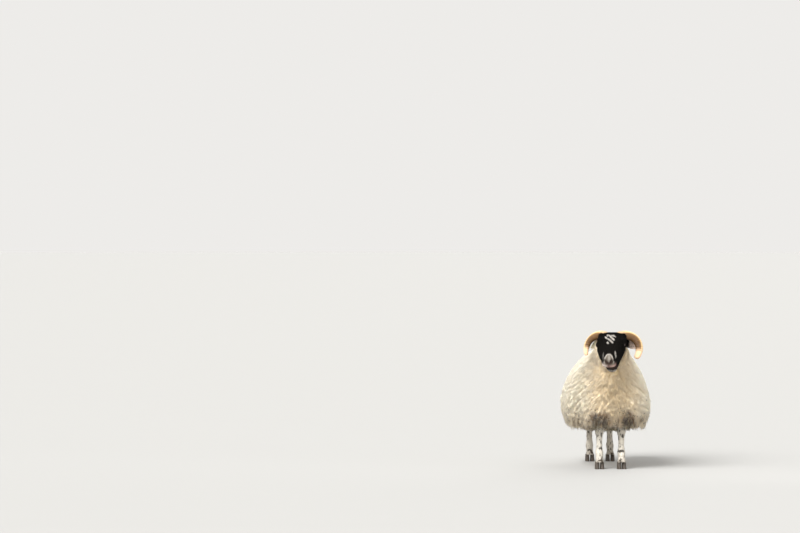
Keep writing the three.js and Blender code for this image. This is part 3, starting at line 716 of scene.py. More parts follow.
skin_finishes = [
    finish("wool_skin", wool_paint, {"Specular IOR Level": 0.2}),
    finish("hair_skin", hair_paint, {"Specular IOR Level": 0.02}),
]
WOOLLY, HAIRY = 0, 1
woolly_skins, hairy_skins = [neck_skin, tail_skin], [head_skin, *ear_skins, *leg_skins]
for piece in [trunk_skin, *woolly_skins, *hairy_skins]:
    piece.data.materials.clear()
    for skin_finish in skin_finishes:
        piece.data.materials.append(skin_finish)
    growth = HAIRY if piece in hairy_skins else WOOLLY
    piece.data.polygons.foreach_set("material_index", np.full(len(piece.data.polygons), growth, np.int32))
skin = boolean(trunk_skin, "UNION", *woolly_skins, *hairy_skins)


def in_head(points):
    """The head's own along, height and out of points."""
    from_poll = points - POLL
    return from_poll @ ALONG, from_poll @ HEIGHT, from_poll @ OUT


def lattice(points, seed):
    """Smooth noise from 0 to 1, one swell to each unit of the points."""
    cell = np.floor(points).astype(np.int64)
    part = points - cell
    part = part * part * (3 - 2 * part)
    total = np.zeros(points.shape[:-1])
    for corner in np.ndindex(2, 2, 2):
        x, y, z = np.moveaxis(cell + np.array(corner), -1, 0)
        hashed = (x * 73856093) ^ (y * 19349663) ^ (z * 83492791) ^ (seed * 2654435761)
        hashed = (hashed ^ (hashed >> 13)) * 1274126177 & 0x7FFFFFFF
        value = (hashed ^ (hashed >> 16)) % 65536 / 65535
        total = total + np.prod(np.where(corner, part, 1 - part), axis=-1) * value
    return total


def blend(colour, other, amount):
    """Colours turned to another by an amount from 0 to 1 at each place."""
    return colour + (np.array(other) - colour) * np.clip(amount, 0, 1)[..., None]


def all_over(colour, p):
    """One colour at every place."""
    return np.tile(np.array(colour), p.shape[:-1] + (1,))


CREAM = (0.94, 0.79, 0.545)
WHITE_WOOL = (0.98, 0.86, 0.64)
YOLK_AND_SHADE = (0.69, 0.49, 0.23)
STAINED = (0.30, 0.15, 0.038)
SOIL = (0.06, 0.032, 0.012)
# Where soil gathers on the wool: across, how far it reaches, and how thick it is there.
OVER_LEGS = [(-68, 36, 1.3), (90, 26, 1)]
# Painted shadow under the belly, between the forelegs: across, and how far it reaches.
SHADE_UNDER_BELLY = (14, 26)
SOIL_TOP = (280, 372)


def wool_tint(p):
    """The fleece's colour at a place: whiter on the flanks, yellower at the chest and low down."""
    colour = all_over(CREAM, p)
    white = smooth(np.abs(p[..., 0]), 50, 160) * smooth(p[..., 2], 270, 440)
    colour = blend(colour, WHITE_WOOL, white + 0.6 * smooth(p[..., 2], 560, 640))
    # At the chest the yellow is partly the wool's own yolk and partly painted shade, darker where less light
    # reaches.
    chest = bump(p[..., 0], 10, 90) * smooth(-p[..., 1], 240, 400) * smooth(p[..., 2], 240, 360)
    colour = blend(colour, YOLK_AND_SHADE, 0.7 * chest + 0.16 * smooth(lattice(p / 60, 3), 0.5, 0.95))
    low = 1 - smooth(p[..., 2] + 70 * lattice(p / 45, 5), 240, 360)
    return blend(colour, YOLK_AND_SHADE, 0.65 * low)


def soil_and_shade_at(p):
    """Soil over each foreleg and in flecks along the hem, and painted shadow under the belly between them."""
    x, z = p[..., 0], p[..., 2]
    low = 1 - smooth(z + 50 * lattice(p / 30, 6), *SOIL_TOP)
    by_leg = sum(thick * bump(x, across, reach) for across, reach, thick in OVER_LEGS)
    # Low down between the forelegs this paints the shadow under the belly.
    by_leg = by_leg + bump(x, *SHADE_UNDER_BELLY) * (1 - smooth(z, 220, 250))
    front = smooth(-p[..., 1], 120, 260)
    patches = 2.6 * by_leg * front * smooth(lattice(p / 12, 7), 0.2, 0.5)
    flecks = smooth(lattice(p / 17, 8), 0.68, 0.8) * 0.6
    haze = front * (0.07 + 0.2 * np.minimum(by_leg, 1))
    return np.clip(low * (patches + flecks + haze), 0, 1)


def soiled_and_shaded(colour, amount):
    """Wool darkened by an amount of soil and painted shade: brown with a little, and dark with a lot."""
    return blend(blend(colour, STAINED, 2 * amount), SOIL, 1.5 * amount - 0.5)


BLACK = (0.004, 0.0034, 0.0028)
FROST = (0.50, 0.465, 0.42)
GREY = (0.115, 0.098, 0.078)
PINK = (0.50, 0.32, 0.28)
DARK_NOSE = (0.035, 0.022, 0.018)
NOSE_TIP = {"along": 262, "out": 3, "reach": 36}
NOSTRIL_DARK = {"flare": (19, 2), "height": -49, "reach": 15}
# White strokes on the brow, each from one place along and out to another, and half its width.
BROW_STROKES = [
    (40, -23, 44, 10, 4.6),
    (60, -33, 94, -5, 3.4),
    (52, -6, 90, 19, 4.2),
    (86, -10, 118, 12, 3.6),
    (122, -15, 126, -12, 4.6),
    (38, 9, 58, 26, 1.8),
]
NOSE_STREAKS = [
    (214, -32, 236, -30, 4.0),
    (200, 35, 222, 40, 4.4),
]


def strokes(a, u, rows, foreshortened):
    """How much of each place is within one of the strokes."""
    most = np.zeros_like(a)
    for from_a, from_u, to_a, to_u, half in rows:
        line = np.array([(to_a - from_a) * foreshortened, to_u - from_u])
        start = np.stack([(a - from_a) * foreshortened, u - from_u], axis=-1)
        t = np.clip(start @ line / (line @ line), 0, 1)
        off = np.linalg.norm(start - t[..., None] * line, axis=-1)
        most = np.maximum(most, 1 - smooth(off, half * 0.5, half * 1.4))
    return most


def face_tint(p):
    """The head's marks: broken white strokes on the brow, and a pale muzzle round dark nostrils."""
    a, h, u = in_head(p)
    ragged = lattice(p / 5, 11) - 0.5
    colour = all_over(BLACK, p)
    brow = strokes(a + 9 * ragged, u + 4 * ragged, BROW_STROKES, 0.5) * smooth(h, -30, -12)
    colour = blend(colour, FROST, brow * (0.35 + 0.85 * lattice(p / 3, 12)))
    streak = strokes(a, u + 3 * ragged, NOSE_STREAKS, 0.3) * smooth(h, -48, -34)
    colour = blend(colour, FROST, mix(0.2, 0.5, u > 0) * streak * smooth(lattice(p / 6, 13), 0.2, 0.5))
    from_middle = u - NOSE_TIP["out"]
    broad = mix(28, 34, smooth(-h, 30, 60))
    round_nose = np.hypot((a - NOSE_TIP["along"]) / NOSE_TIP["reach"], from_middle / broad) + 0.10 * ragged
    muzzle = (1 - smooth(round_nose, 0.94, 1.06)) * smooth(h, -98, -88)
    colour = blend(colour, GREY, muzzle * (0.75 + 0.5 * lattice(p / 7, 14)))
    colour = blend(colour, FROST, muzzle * smooth(round_nose, 0.66, 0.9) * smooth(h, -66, -50) * 0.42)
    bridge = bump(u, 4, 7) * bump(a, 246, 16) * smooth(h, -60, -30)
    colour = blend(colour, FROST, 0.3 * bridge)
    flare = mix(*NOSTRIL_DARK["flare"], smooth(-h, 34, 66))
    for side in (-1, 1):
        slit = np.abs(from_middle - side * flare)
        dark = (1 - smooth(slit, 7, 15)) * bump(h, NOSTRIL_DARK["height"], NOSTRIL_DARK["reach"])
        colour = blend(colour, DARK_NOSE, 0.95 * dark * smooth(a, 236, 246))
    groove = bump(u, 3, 6) * smooth(-h, 50, 62) * (1 - smooth(-h, 78, 88)) * smooth(a, 236, 246)
    colour = blend(colour, DARK_NOSE, 0.85 * groove)
    lip = bump(h, -76, 11) * smooth(a, 214, 236)
    colour = blend(colour, PINK, 0.75 * lip * (0.4 + 0.6 * lattice(p / 9, 15)))
    colour = blend(colour, FROST, 0.5 * bump(h, -72, 8) * smooth(-u, 2, 16) * smooth(a, 214, 236))
    lower = bump(h, -97, 7) * smooth(a, 196, 220)
    colour = blend(colour, DARK_NOSE, 0.9 * lower)
    chin = smooth(-h, 104, 112) * smooth(a, 176, 204)
    mottled = 0.35 + 0.65 * smooth(lattice(p / 6, 16), 0.35, 0.65)
    return blend(colour, FROST, 0.62 * chin * mottled)


PINK_WHITE, EAR_SPOTS = (0.72, 0.58, 0.50), (0.03, 0.02, 0.018)
LEG_WHITE, LEG_SPECKS = (0.62, 0.575, 0.50), (0.02, 0.016, 0.014)
EAR_FROM = {"out": 80, "behind": 60}
LEG_MIDDLES = {"fore": -256, "hind": 345, "out": 62}
LEG_MARKS_TOP = 300
FACE_FROM = {"along": -60, "y": -300, "z": 520}


def ear_tint(p):
    """Ears: black at the root, dusky pink and white beyond, dark spots, and a dark patch at the tip."""
    _, _, u = in_head(p)
    far = np.abs(u)
    colour = blend(all_over(BLACK, p), PINK_WHITE, smooth(far, EAR_FROM["out"] + 2, EAR_FROM["out"] + 14))
    spots = smooth(lattice(p / 11, 21), 0.66, 0.76) * 0.8
    tip = bump(far, 134, 9) * (u > 0) * smooth(lattice(p / 9, 22), 0.2, 0.5)
    return blend(colour, EAR_SPOTS, np.maximum(spots, tip))


def leg_tint(p):
    """Mottled legs: white in front, black inside and behind, specked all over."""
    x, y, z = np.moveaxis(p, -1, 0)
    behind = y - np.where(y < 0, LEG_MIDDLES["fore"], LEG_MIDDLES["hind"]) + 22 * (lattice(p / 24, 31) - 0.5)
    inside = LEG_MIDDLES["out"] - np.abs(x)
    colour = blend(all_over(LEG_WHITE, p), BLACK, smooth(behind + 0.4 * inside, 2, 16))
    specks = smooth(lattice(p / 7, 32), 0.68, 0.76)
    blots = smooth(lattice(p / 17, 33), 0.7, 0.78)
    colour = blend(colour, LEG_SPECKS, np.maximum(specks * 0.85, blots * 0.9))
    return blend(colour, SOIL, 0.35 * (1 - smooth(z, 40, 90)))


def on_ear(p):
    a, _, u = in_head(p)
    return (np.abs(u) > EAR_FROM["out"]) & (a < EAR_FROM["behind"])


def tint_at(p):
    """The coat's colour at places of the skin, for wool and hair alike."""
    a, _, _ = in_head(p)
    on_face = (a > FACE_FROM["along"]) & (p[..., 1] < FACE_FROM["y"]) & (p[..., 2] > FACE_FROM["z"])
    colour = np.where((p[..., 2] < LEG_MARKS_TOP)[..., None], leg_tint(p), wool_tint(p))
    colour = np.where(on_face[..., None], face_tint(p), colour)
    return np.where((on_ear(p) & on_face)[..., None], ear_tint(p), colour)


def set_tint(piece, colours):
    """Gives a piece's mesh its colour at each vertex."""
    layer = piece.data.color_attributes.new("tint", "FLOAT_COLOR", "POINT")
    rgba = np.concatenate([colours, np.ones((len(colours), 1))], axis=1)
    layer.data.foreach_set("color", rgba.astype(np.float32).ravel())


set_tint(skin, tint_at(in_millimetres(skin.data)))
skin.data.shade_smooth()
FLESH = ["torso", "neck", "tail", "head"]
FLESH += [f"{part}_{name}" for name in SIDES for part in ("ear", "foreleg", "hindleg")]
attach(skin, "root")
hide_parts(*FLESH)

# ---- The fleece --------------------------------------------------------------------------------
# Long wool hangs from a parting along the back in pointed, wavy locks that overlap like thatch.
# Each lock is a bunch of thin closed strands that draw together towards its tip. A dense lower wool
# lies under them.
LOCK_LENGTH = 88
LOCK_SPACING = 14
CHEEK_SPACING = 9
PARTING_SPACING = 10.5
STRANDS_IN_LOCK = 18
LINE_STEPS = 9
HEM_LOW, HEM_VARIES = 202, 32
WOOL_FLOOR = 198
NECK_BLEND, TAIL_BLEND = 60, 14
TAIL_FROM_Y = 330
ABOVE_LEGS = 420
draw = np.random.default_rng(7)


def tail_level(p):
    """-1 in the middle of the woolly tail and 0 at its outline."""
    along = np.clip((TAIL["root_z"] - p[..., 2]) / (TAIL["root_z"] - TAIL["tip_z"]), 0, 1)
    past = p[..., 2] - mix(TAIL["root_z"], TAIL["tip_z"], along)
    across = p[..., 0] / (TAIL["half_width"] * tail_full(along))
    through_it = (p[..., 1] - tail_back(along)) / (TAIL["half_depth"] * tail_full(along))
    return np.sqrt(across**2 + through_it**2 + (past / TAIL["half_depth"]) ** 2) - 1


def joined(a, b, width):
    """Two fields run together, blended over a width."""
    h = np.clip(0.5 + (b - a) / (2 * width), 0, 1)
    return mix(b, a, h) - width * h * (1 - h)


def fleece_field(p):
    """How far points are outside the tips of the wool of the trunk, the neck and the tail."""
    body = joined(trunk_field(p), neck_field(p), NECK_BLEND)
    behind = p[..., 1] > TAIL_FROM_Y
    if behind.any():
        body[behind] = joined(body[behind], outside(tail_level, p[behind]), TAIL_BLEND)
    return body


def faces_of(piece):
    """A piece's triangles, in mm, with their normals, areas and materials.

    A boolean gives its faces in another order each time, so they are sorted, and roots drawn from
    them fall in the same places in every run.
    """
    mesh = piece.data
    count = len(mesh.polygons)
    starts, totals, materials = np.empty((3, count), np.int32)
    mesh.polygons.foreach_get("loop_start", starts)
    mesh.polygons.foreach_get("loop_total", totals)
    mesh.polygons.foreach_get("material_index", materials)
    facing = np.empty(count * 3, np.float32)
    mesh.polygons.foreach_get("normal", facing)
    corners = np.empty(len(mesh.loops), np.int32)
    mesh.loops.foreach_get("vertex_index", corners)
    fans = []
    for size in np.unique(totals):
        chosen = np.flatnonzero(totals == size)
        ring = corners[starts[chosen][:, None] + np.arange(size)]
        first = ring.argmin(axis=1)[:, None]
        ring = np.take_along_axis(ring, (first + np.arange(size)) % size, axis=1)
        for k in range(1, size - 1):
            fans.append(np.column_stack([ring[:, 0], ring[:, k], ring[:, k + 1], chosen]))
    fans = np.concatenate(fans)
    fans = fans[np.lexsort((fans[:, 2], fans[:, 1], fans[:, 0]))]
    triangles = in_millimetres(mesh)[fans[:, :3]]
    normal = np.cross(triangles[:, 1] - triangles[:, 0], triangles[:, 2] - triangles[:, 0])
    turned = (normal * facing.reshape(-1, 3)[fans[:, 3]]).sum(1) < 0
    normal = np.where(turned[:, None], -normal, normal)
    return triangles, unit(normal), np.linalg.norm(normal, axis=1), materials[fans[:, 3]]


def scattered(triangles, normals, weights, count):
    """Points spread at random over triangles, by weight, with their normals."""
    picked = draw.choice(len(weights), count, p=weights / weights.sum())
    r1, r2 = np.sqrt(draw.random(count)), draw.random(count)
    corners = np.stack([1 - r1, r1 * (1 - r2), r1 * r2], axis=1)
    return (triangles[picked] * corners[..., None]).sum(1), normals[picked]


def spaced(points, spacing):
    """Which points to keep so that none is nearer than a spacing to one before it."""
    cells = {}
    kept = []
    around = [np.array(step) - 1 for step in np.ndindex(3, 3, 3)]
    for i, p in enumerate(points):
        key = (p // spacing).astype(int)
        near = [j for step in around for j in cells.get(tuple(key + step), ())]
        if near and (((points[near] - p) ** 2).sum(1) < spacing**2).any():
            continue
        cells.setdefault(tuple(key), []).append(i)
        kept.append(i)
    return np.array(kept)


HEAD_SIZE = 68
HEAD_ROOM = {"out": 84, "height": -70, "tall": 76}


def head_level(p):
    """1 on the head's surface, less inside it and more outside."""
    a, h, u = in_head(p.reshape(-1, 3))
    top, bottom, half, widest, above, below = head_section(np.clip(a, HEAD_BACK, HEAD_FRONT)).T
    n = np.where(h > widest, above, below)
    tall = np.where(h > widest, top - widest, widest - bottom)
    level = (np.abs(u / half) ** n + np.abs((h - widest) / tall) ** n) ** (1 / n)
    beyond = 1 + np.maximum(HEAD_BACK + 14 - a, a - HEAD_FRONT) / 70
    return np.maximum(level, beyond).reshape(p.shape[:-1])


def from_head(p):
    """How far points are from the head's surface, roughly, in mm."""
    return (head_level(p) - 1) * HEAD_SIZE


def near_head(p, reach):
    """Which points are within a reach of the block that holds the head."""
    a, h, u = in_head(p)
    along = (a > HEAD_BACK - reach) & (a < HEAD_FRONT + reach)
    tall = np.abs(h - HEAD_ROOM["height"]) < HEAD_ROOM["tall"] + reach
    return along & tall & (np.abs(u) < HEAD_ROOM["out"] + reach)


def kept_off_head(p, clearance):
    """Points moved out of the head, to a clearance from its surface."""
    moved = p.copy()
    near = near_head(p, 8)
    if near.any():
        at = p[near]
        short = np.broadcast_to(clearance, near.shape)[near] - from_head(at)
        moved[near] = at + unit(gradient(head_level, at)) * np.clip(short, 0, 60)[:, None]
    return moved


def over_tail(p):
    """1 on the upper part of the tail, where it comes out from the rump, and 0 elsewhere."""
    return bump(p[..., 0], 0, 50) * smooth(p[..., 1], 370, 430) * smooth(p[..., 2], 380, 440)


def wool_lie(p, normal):
    """The way the wool lies: down each side from the parting and a little back, away from the face."""
    side = np.sign(p[:, 0] + 1e-3) * smooth(np.abs(p[:, 0]), 0, 120)
    sway = (lattice(p / 120, 41) - 0.5) * (1 - over_tail(p))
    drift = lattice(p / 80, 42) - 0.5
    throat = smooth(-p[:, 1], 150, 330) * smooth(p[:, 2], 330, 560)
    ridge = 1.6 * bump(p[:, 0], 0, 46) * smooth(normal[:, 2], 0.35, 0.75)
    outwards = (0.62 + 0.5 * throat) * side + (0.6 + ridge) * sway
    way = np.stack([outwards, 0.2 + 0.5 * drift + ridge, np.full(len(p), -1.0)], axis=1)
    near = near_head(p, 90)
    if near.any():
        away = unit(unit(gradient(head_level, p[near])) - 1.1 * ALONG)
        way[near] += away * (0.9 * np.exp(-np.maximum(from_head(p[near]), 0) / 40))[:, None]
    return square_to(normal, way)


def wool_spines(roots, lengths, steps, hem):
    """Centre lines of locks, up out of the lower wool, along the lie, and straight down at the hem.

    With them come the ways across each line and out from the fleece, at each of its steps.
    """
    line, crosswise, outwards = [], [], []
    p = roots.copy()
    lean = draw.normal(0, 0.16, len(roots))
    depth_from = -fleece_field(roots)
    for k in range(steps):
        t = k / (steps - 1)
        normal = unit(gradient(fleece_field, p))
        depth = mix(depth_from, 3.0, np.minimum(1, 1.3 * t) ** 0.8)
        hangs = smooth(-normal[:, 2], 0.15, 0.6) * min(k, 1)
        if k:
            p = p + normal * ((-depth - fleece_field(p)) * (1 - hangs))[:, None]
            p = kept_off_head(p, 6 * min(1, 2 * t))
        p[:, 2] = np.maximum(p[:, 2], hem)
        flow = unit(mix(wool_lie(p, normal), np.array([0.0, 0.0, -1.0]), hangs[:, None]))
        line.append(p.copy())
        crosswise.append(unit(np.cross(flow, normal)))
        outwards.append(normal)
        flow = unit(flow + crosswise[-1] * lean[:, None])
        p = p + flow * (lengths / (steps - 1))[:, None]
    return np.stack(line, 1), np.stack(crosswise, 1), np.stack(outwards, 1)


STRAND_SIDES = [(-0.5, -0.1), (0.5, -0.1), (0, 0.2)]
UV_PATCH = 0.003


def strand_mesh(name, spine, across, lift, width, root_uv, tints, material):
    """Thin three-sided strands with closed roots and pointed tips, joined in one piece."""
    count, steps, _ = spine.shape
    rings = steps - 1
    points = np.empty((count, rings * 3 + 1, 3))
    for k in range(rings):
        for s, (sideways, outwards) in enumerate(STRAND_SIDES):
            reach = across[:, k] * sideways + lift[:, k] * outwards
            points[:, k * 3 + s] = spine[:, k] + reach * width[:, k, None]
    points[:, -1] = spine[:, -1]
    faces = [(2, 1, 0)]
    for k in range(rings - 1):
        for s in range(3):
            a, b = k * 3 + s, k * 3 + (s + 1) % 3
            faces += [(a, b, b + 3), (a, b + 3, a + 3)]
    top = (rings - 1) * 3
    faces += [(top + s, top + (s + 1) % 3, rings * 3) for s in range(3)]
    faces = np.array(faces)
    per = rings * 3 + 1
    loops = (faces[None] + (np.arange(count) * per)[:, None, None]).reshape(-1)
    total = count * len(faces)
    mesh = bpy.data.meshes.new(name)
    mesh.vertices.add(count * per)
    mesh.vertices.foreach_set("co", (points.reshape(-1, 3) * MM + SHIFT).astype(np.float32).ravel())
    mesh.loops.add(len(loops))
    mesh.loops.foreach_set("vertex_index", loops.astype(np.int32))
    mesh.polygons.add(total)
    mesh.polygons.foreach_set("loop_start", np.arange(0, total * 3, 3, dtype=np.int32))
    mesh.update(calc_edges=True)
    steps_along = np.append(np.repeat(np.arange(rings), 3), rings) / rings - 0.5
    steps_across = np.append(np.tile([-0.5, 0.5, 0.0], rings), 0.0)
    local = np.stack([steps_along, steps_across], axis=1) * UV_PATCH
    uv = (root_uv[:, None, :] + local[None]).reshape(-1, 2)[loops]
    mesh.uv_layers.new(name="OFBake").data.foreach_set("uv", uv.astype(np.float32).ravel())
    piece = new_object(name, mesh)
    ringed = np.concatenate([np.repeat(tints[:, :rings], 3, axis=1), tints[:, rings:]], axis=1)
    set_tint(piece, ringed.reshape(-1, 3))
    mesh.materials.append(material)
    mesh.shade_smooth()
    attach(piece, "root")
    return piece


UV_EDGES = (0.004, 0.996)


def barrel_unwrap(p):
    """An unwrap of the body: once round it, and along it from nose to tail."""
    around = np.arctan2(p[:, 0], p[:, 2] - 400) / (2 * np.pi) + 0.5
    along = (p[:, 1] + 620) / 1160
    return np.clip(np.stack([around, along], axis=1), *UV_EDGES)


# The lower wool's colour is scaled down by its shade factor: painted shade for the shadow under the strands
# that lie over it.
UNDERWOOL = {"middle": np.array([0.0, -60.0, 430.0]), "depth": 20, "tufts": 7, "shade": 0.82}


def underwool_point(around, along):
    """The dense lower wool: a shell under the strands, flat behind the cheeks."""
    ways = rays(around, along, FORWARD, BARREL_STRETCH)
    p = meets(fleece_field, UNDERWOOL["middle"], ways, UNDERWOOL["depth"])
    p = p + ways * (UNDERWOOL["tufts"] * (lattice(p / 13, 43) - 0.5))[:, None]
    a, h, _ = in_head(p)
    past = np.maximum(a + 6 - 0.45 * np.maximum(-h, 0), 0) * near_head(p, 60)
    return p - past[:, None] * ALONG


underwool = lofted("underwool", 144, 120, underwool_point)
boolean(underwool, "DIFFERENCE", head_form("head_room", 3, 64, 64))
for side in SIDES.values():
    boolean(underwool, "DIFFERENCE", ear_form("ear_room", side))
places = in_millimetres(underwool.data)
_, h, _ = in_head(places)
hair_reach = from_head(places) + 7 * lattice(places / 6, 45)
hair_edge = (1 - smooth(hair_reach, 15, 21)) * smooth(h, -110, -90) * near_head(places, 45)
shaded = soiled_and_shaded(wool_tint(places) * UNDERWOOL["shade"], soil_and_shade_at(places))
set_tint(underwool, blend(shaded, BLACK, hair_edge))
corner_places = np.empty(len(underwool.data.loops), np.int32)
underwool.data.loops.foreach_get("vertex_index", corner_places)
WOOL_SHINE = {
    "Specular IOR Level": 0.12,
    "Sheen Weight": 0.35,
    "Sheen Roughness": 0.5,
    "Subsurface Weight": 0.4,
    "Subsurface Scale": 0.01,
    "Subsurface Radius": (1.0, 0.85, 0.65),
}
wool_finish = finish("wool", wool_paint, WOOL_SHINE)
unwrapped = barrel_unwrap(places)[corner_places].astype(np.float32)
underwool.data.uv_layers.new(name="OFBake").data.foreach_set("uv", unwrapped.ravel())
underwool.data.materials.clear()
underwool.data.materials.append(wool_finish)
underwool.data.shade_smooth()
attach(underwool, "root")

triangles, normals, areas, _ = faces_of(underwool)
skin_triangles, skin_normals, skin_areas, growth = faces_of(skin)
middle = skin_triangles.mean(axis=1)
on_tail = (growth == WOOLLY) & (middle[:, 1] > 440) & (np.abs(middle[:, 0]) < 45)
triangles = np.concatenate([triangles, skin_triangles[on_tail]])
normals = np.concatenate([normals, skin_normals[on_tail]])
areas = np.concatenate([areas, skin_areas[on_tail]])
near_middle = np.abs(triangles.mean(axis=1)[:, 0]) < 42
along_back = near_middle & ((normals[:, 2] > 0.1) | (triangles[:, 0, 1] > 400))


def body_roots(chosen, count, spacing):
    """Roots spread over some of the body's triangles, thinner under the belly and clear of the head."""
    roots, outwards = scattered(triangles[chosen], normals[chosen], areas[chosen], count)
    outside_head = ~near_head(roots, 4) | (from_head(roots) > 4.5)
    seen = (outwards[:, 2] > -0.7) | (roots[:, 2] > 400) | (lattice(roots / 14, 44) > 0.5)
    roots, outwards = roots[outside_head & seen], outwards[outside_head & seen]
    kept = spaced(roots, spacing)
    roots, outwards = roots[kept], outwards[kept]
    apart = np.where(near_head(roots, 45), from_head(roots), 60)
    depth = mix(-4, 5, smooth(apart, 12, 34)) - 17 * over_tail(roots)
    return roots - outwards * depth[:, None]


# On the cheeks and the nape it grows close set from the skin, over the edge of the lower wool.
a, h, u = in_head(middle)
cheek_edge = 12 + 0.52 * np.maximum(-h, 0)
sunk = fleece_field(middle)
on_cheek = (np.abs(a - cheek_edge) < 16) & (h < -16) & (sunk < -6)
on_nape = (a < 16) & (h >= -30) & (np.abs(sunk + 20) < 14)
on_cheek = (growth == HAIRY) & (on_cheek | on_nape) & (np.abs(u) < 84) & (middle[:, 2] > ABOVE_LEGS)
cheek_roots, _ = scattered(skin_triangles[on_cheek], skin_normals[on_cheek], skin_areas[on_cheek], 7000)
roots = np.concatenate([
    cheek_roots[spaced(cheek_roots, CHEEK_SPACING)],
    body_roots(along_back, 12000, PARTING_SPACING),
    body_roots(~along_back, 44000, LOCK_SPACING),
])
lock_count = len(roots)
under = smooth(-unit(gradient(fleece_field, roots))[:, 2], 0.45, 0.8)
lengths = LOCK_LENGTH * (0.8 + 0.35 * draw.random(lock_count)) * (1 - 0.5 * under)
lengths *= np.where(near_head(roots, 10) & (head_level(roots) < 1.3), 0.75, 1.0)
hem = HEM_LOW + HEM_VARIES * draw.random(lock_count) ** 1.6
hem += HEM_RISE["rise"] * smooth(roots[:, 1], 240, 470)
line, crosswise, outwards = wool_spines(roots, lengths, LINE_STEPS, hem)

# The strands of each lock: how far along it they reach, where they lie in it, and how they stray.
TAPER_ON_BODY = np.array([0.6, 1.0, 0.8, 0.0])
TAPER_BY_HEAD = np.array([0.25, 0.72, 0.58, 0.0])
LOCK_HALF_WIDTH = (12.0, 8.0)
LOCK_DEPTH = (6.0, 3.5)
STRAND_WIDTH = (1.7, 3.1)
WAVE_HEIGHT, WAVE_LENGTH = 1.8, 80
strand_lock = np.repeat(np.arange(lock_count), STRANDS_IN_LOCK)
n = len(strand_lock)
t = np.linspace(0, 1, len(TAPER_ON_BODY))[None, :]
reach = (0.7 + 0.3 * draw.random(n))[:, None]
where = t * reach * (LINE_STEPS - 1)
low = np.minimum(where.astype(int), LINE_STEPS - 2)
share = (where - low)[..., None]


def along_lock(values):
    """What locks have at each of their steps, read at the places of their strands."""
    rows = values[strand_lock]
    picks = np.arange(n)[:, None]
    return rows[picks, low] * (1 - share) + rows[picks, low + 1] * share


sideways = draw.uniform(-1, 1, n)[:, None]
inwards = draw.random(n)[:, None] ** 1.3
stray = (draw.random(n) < 0.2)[:, None]
spread = mix(*LOCK_HALF_WIDTH, (t * reach) ** 1.2) * np.where(stray, 1.5, 1)
sink = mix(*LOCK_DEPTH, t * reach)
phase = draw.random(lock_count)[strand_lock][:, None]
waves = t * reach * lengths[strand_lock][:, None] / WAVE_LENGTH + phase
wave = WAVE_HEIGHT * np.sin(2 * np.pi * waves) * np.minimum(1, 3 * t)
wisp = draw.normal(0, 1, (n, 2))[:, :, None] * (t**2)[:, None, :] * np.where(stray, 6.0, 2.6)[:, :, None]
spine = (
    along_lock(line)
    + along_lock(crosswise) * (sideways * spread + wave + wisp[:, 0])[..., None]
    + along_lock(outwards) * (0.8 * wave - inwards * sink + np.where(stray, 0.6, 0.3) * wisp[:, 1])[..., None]
)
spine = kept_off_head(spine, 3.5 * np.minimum(1, 2 * t))
spine[..., 2] = np.maximum(spine[..., 2], WOOL_FLOOR)
taper = np.where(near_head(spine[:, 0], 30)[:, None], TAPER_BY_HEAD, TAPER_ON_BODY)
width = draw.uniform(*STRAND_WIDTH, n)[:, None] * taper

# Strands that start inside the head, or reach over the face past the ruff, are left out.
start, tip = spine[:, 0], spine[:, -1]
tip_a, tip_h, _ = in_head(tip)
ruff_edge = 34 + 0.6 * np.maximum(-tip_h, 0) + 16 * draw.random(n)
kept = (tip_a < ruff_edge) | (from_head(tip) > 28) | ~near_head(tip, 28)
kept &= ~(near_head(start, 0) & (head_level(start) < 0.7))

# Each strand is a little darker at its root: painted shade deep in the fleece.
ROOT_SHADE = np.array([0.96, 1.0, 1.0, 1.0])
tints = wool_tint(roots)[strand_lock] * draw.uniform(0.95, 1.04, lock_count)[strand_lock][:, None]
tints = (tints * draw.uniform(0.93, 1.05, n)[:, None])[:, None, :] * ROOT_SHADE[:, None]
tints = np.clip(soiled_and_shaded(tints, soil_and_shade_at(spine)), 0, 0.96)
order = np.argsort(roots[strand_lock][:, 1], kind="stable")
order = order[kept[order]]
ways, lifts = along_lock(crosswise), along_lock(outwards)
FLEECE_PIECES = 8
for k, part in enumerate(np.array_split(order, FLEECE_PIECES)):
    fleece = strand_mesh(
        f"fleece_{k + 1}", spine[part], ways[part], lifts[part], width[part],
        barrel_unwrap(spine[part, 0]), tints[part], wool_finish,
    )

# ---- Burrs in the wool -------------------------------------------------------------------------
# Small dark seeds and crumbs of peat caught on the tips of the low wool of the chest, thickest over
# the legs. Each is a long eight-sided grain, turned any way.
BURR_COUNT = 260
tips = spine[order][:, -1]
lows = smooth(-tips[:, 1], 120, 300) * smooth(tips[:, 2], 212, 240) * (1 - smooth(tips[:, 2], 300, 372))
crowd = lows * (0.15 + bump(np.abs(tips[:, 0] + 4), 70, 45)) * smooth(lattice(tips / 34, 51), 0.35, 0.7)
crowd += 0.004 * smooth(-tips[:, 1], 0, 200) * (tips[:, 2] < 430)
picked = draw.choice(len(tips), BURR_COUNT, replace=False, p=crowd / crowd.sum())
at, out_ways, cross_ways = tips[picked], lifts[order][picked, -1], ways[order][picked, -1]
down_ways = np.cross(out_ways, cross_ways)
size = draw.uniform(1.4, 3.4, len(picked))[:, None]
turn = draw.uniform(0, np.pi, len(picked))[:, None]
long_ways = cross_ways * np.cos(turn) + down_ways * np.sin(turn)
short_ways = down_ways * np.cos(turn) - cross_ways * np.sin(turn)
seed_corners = np.stack(
    [
        at + long_ways * size * 1.5, at - long_ways * size * 1.5, at + short_ways * size * 0.8,
        at - short_ways * size * 0.8, at + out_ways * (size * 0.6 + 0.8), at - out_ways * size * 0.6,
    ],
    axis=1,
)
SEED_FACES = np.array(
    [(0, 2, 4), (2, 1, 4), (1, 3, 4), (3, 0, 4), (2, 0, 5), (1, 2, 5), (3, 1, 5), (0, 3, 5)]
)
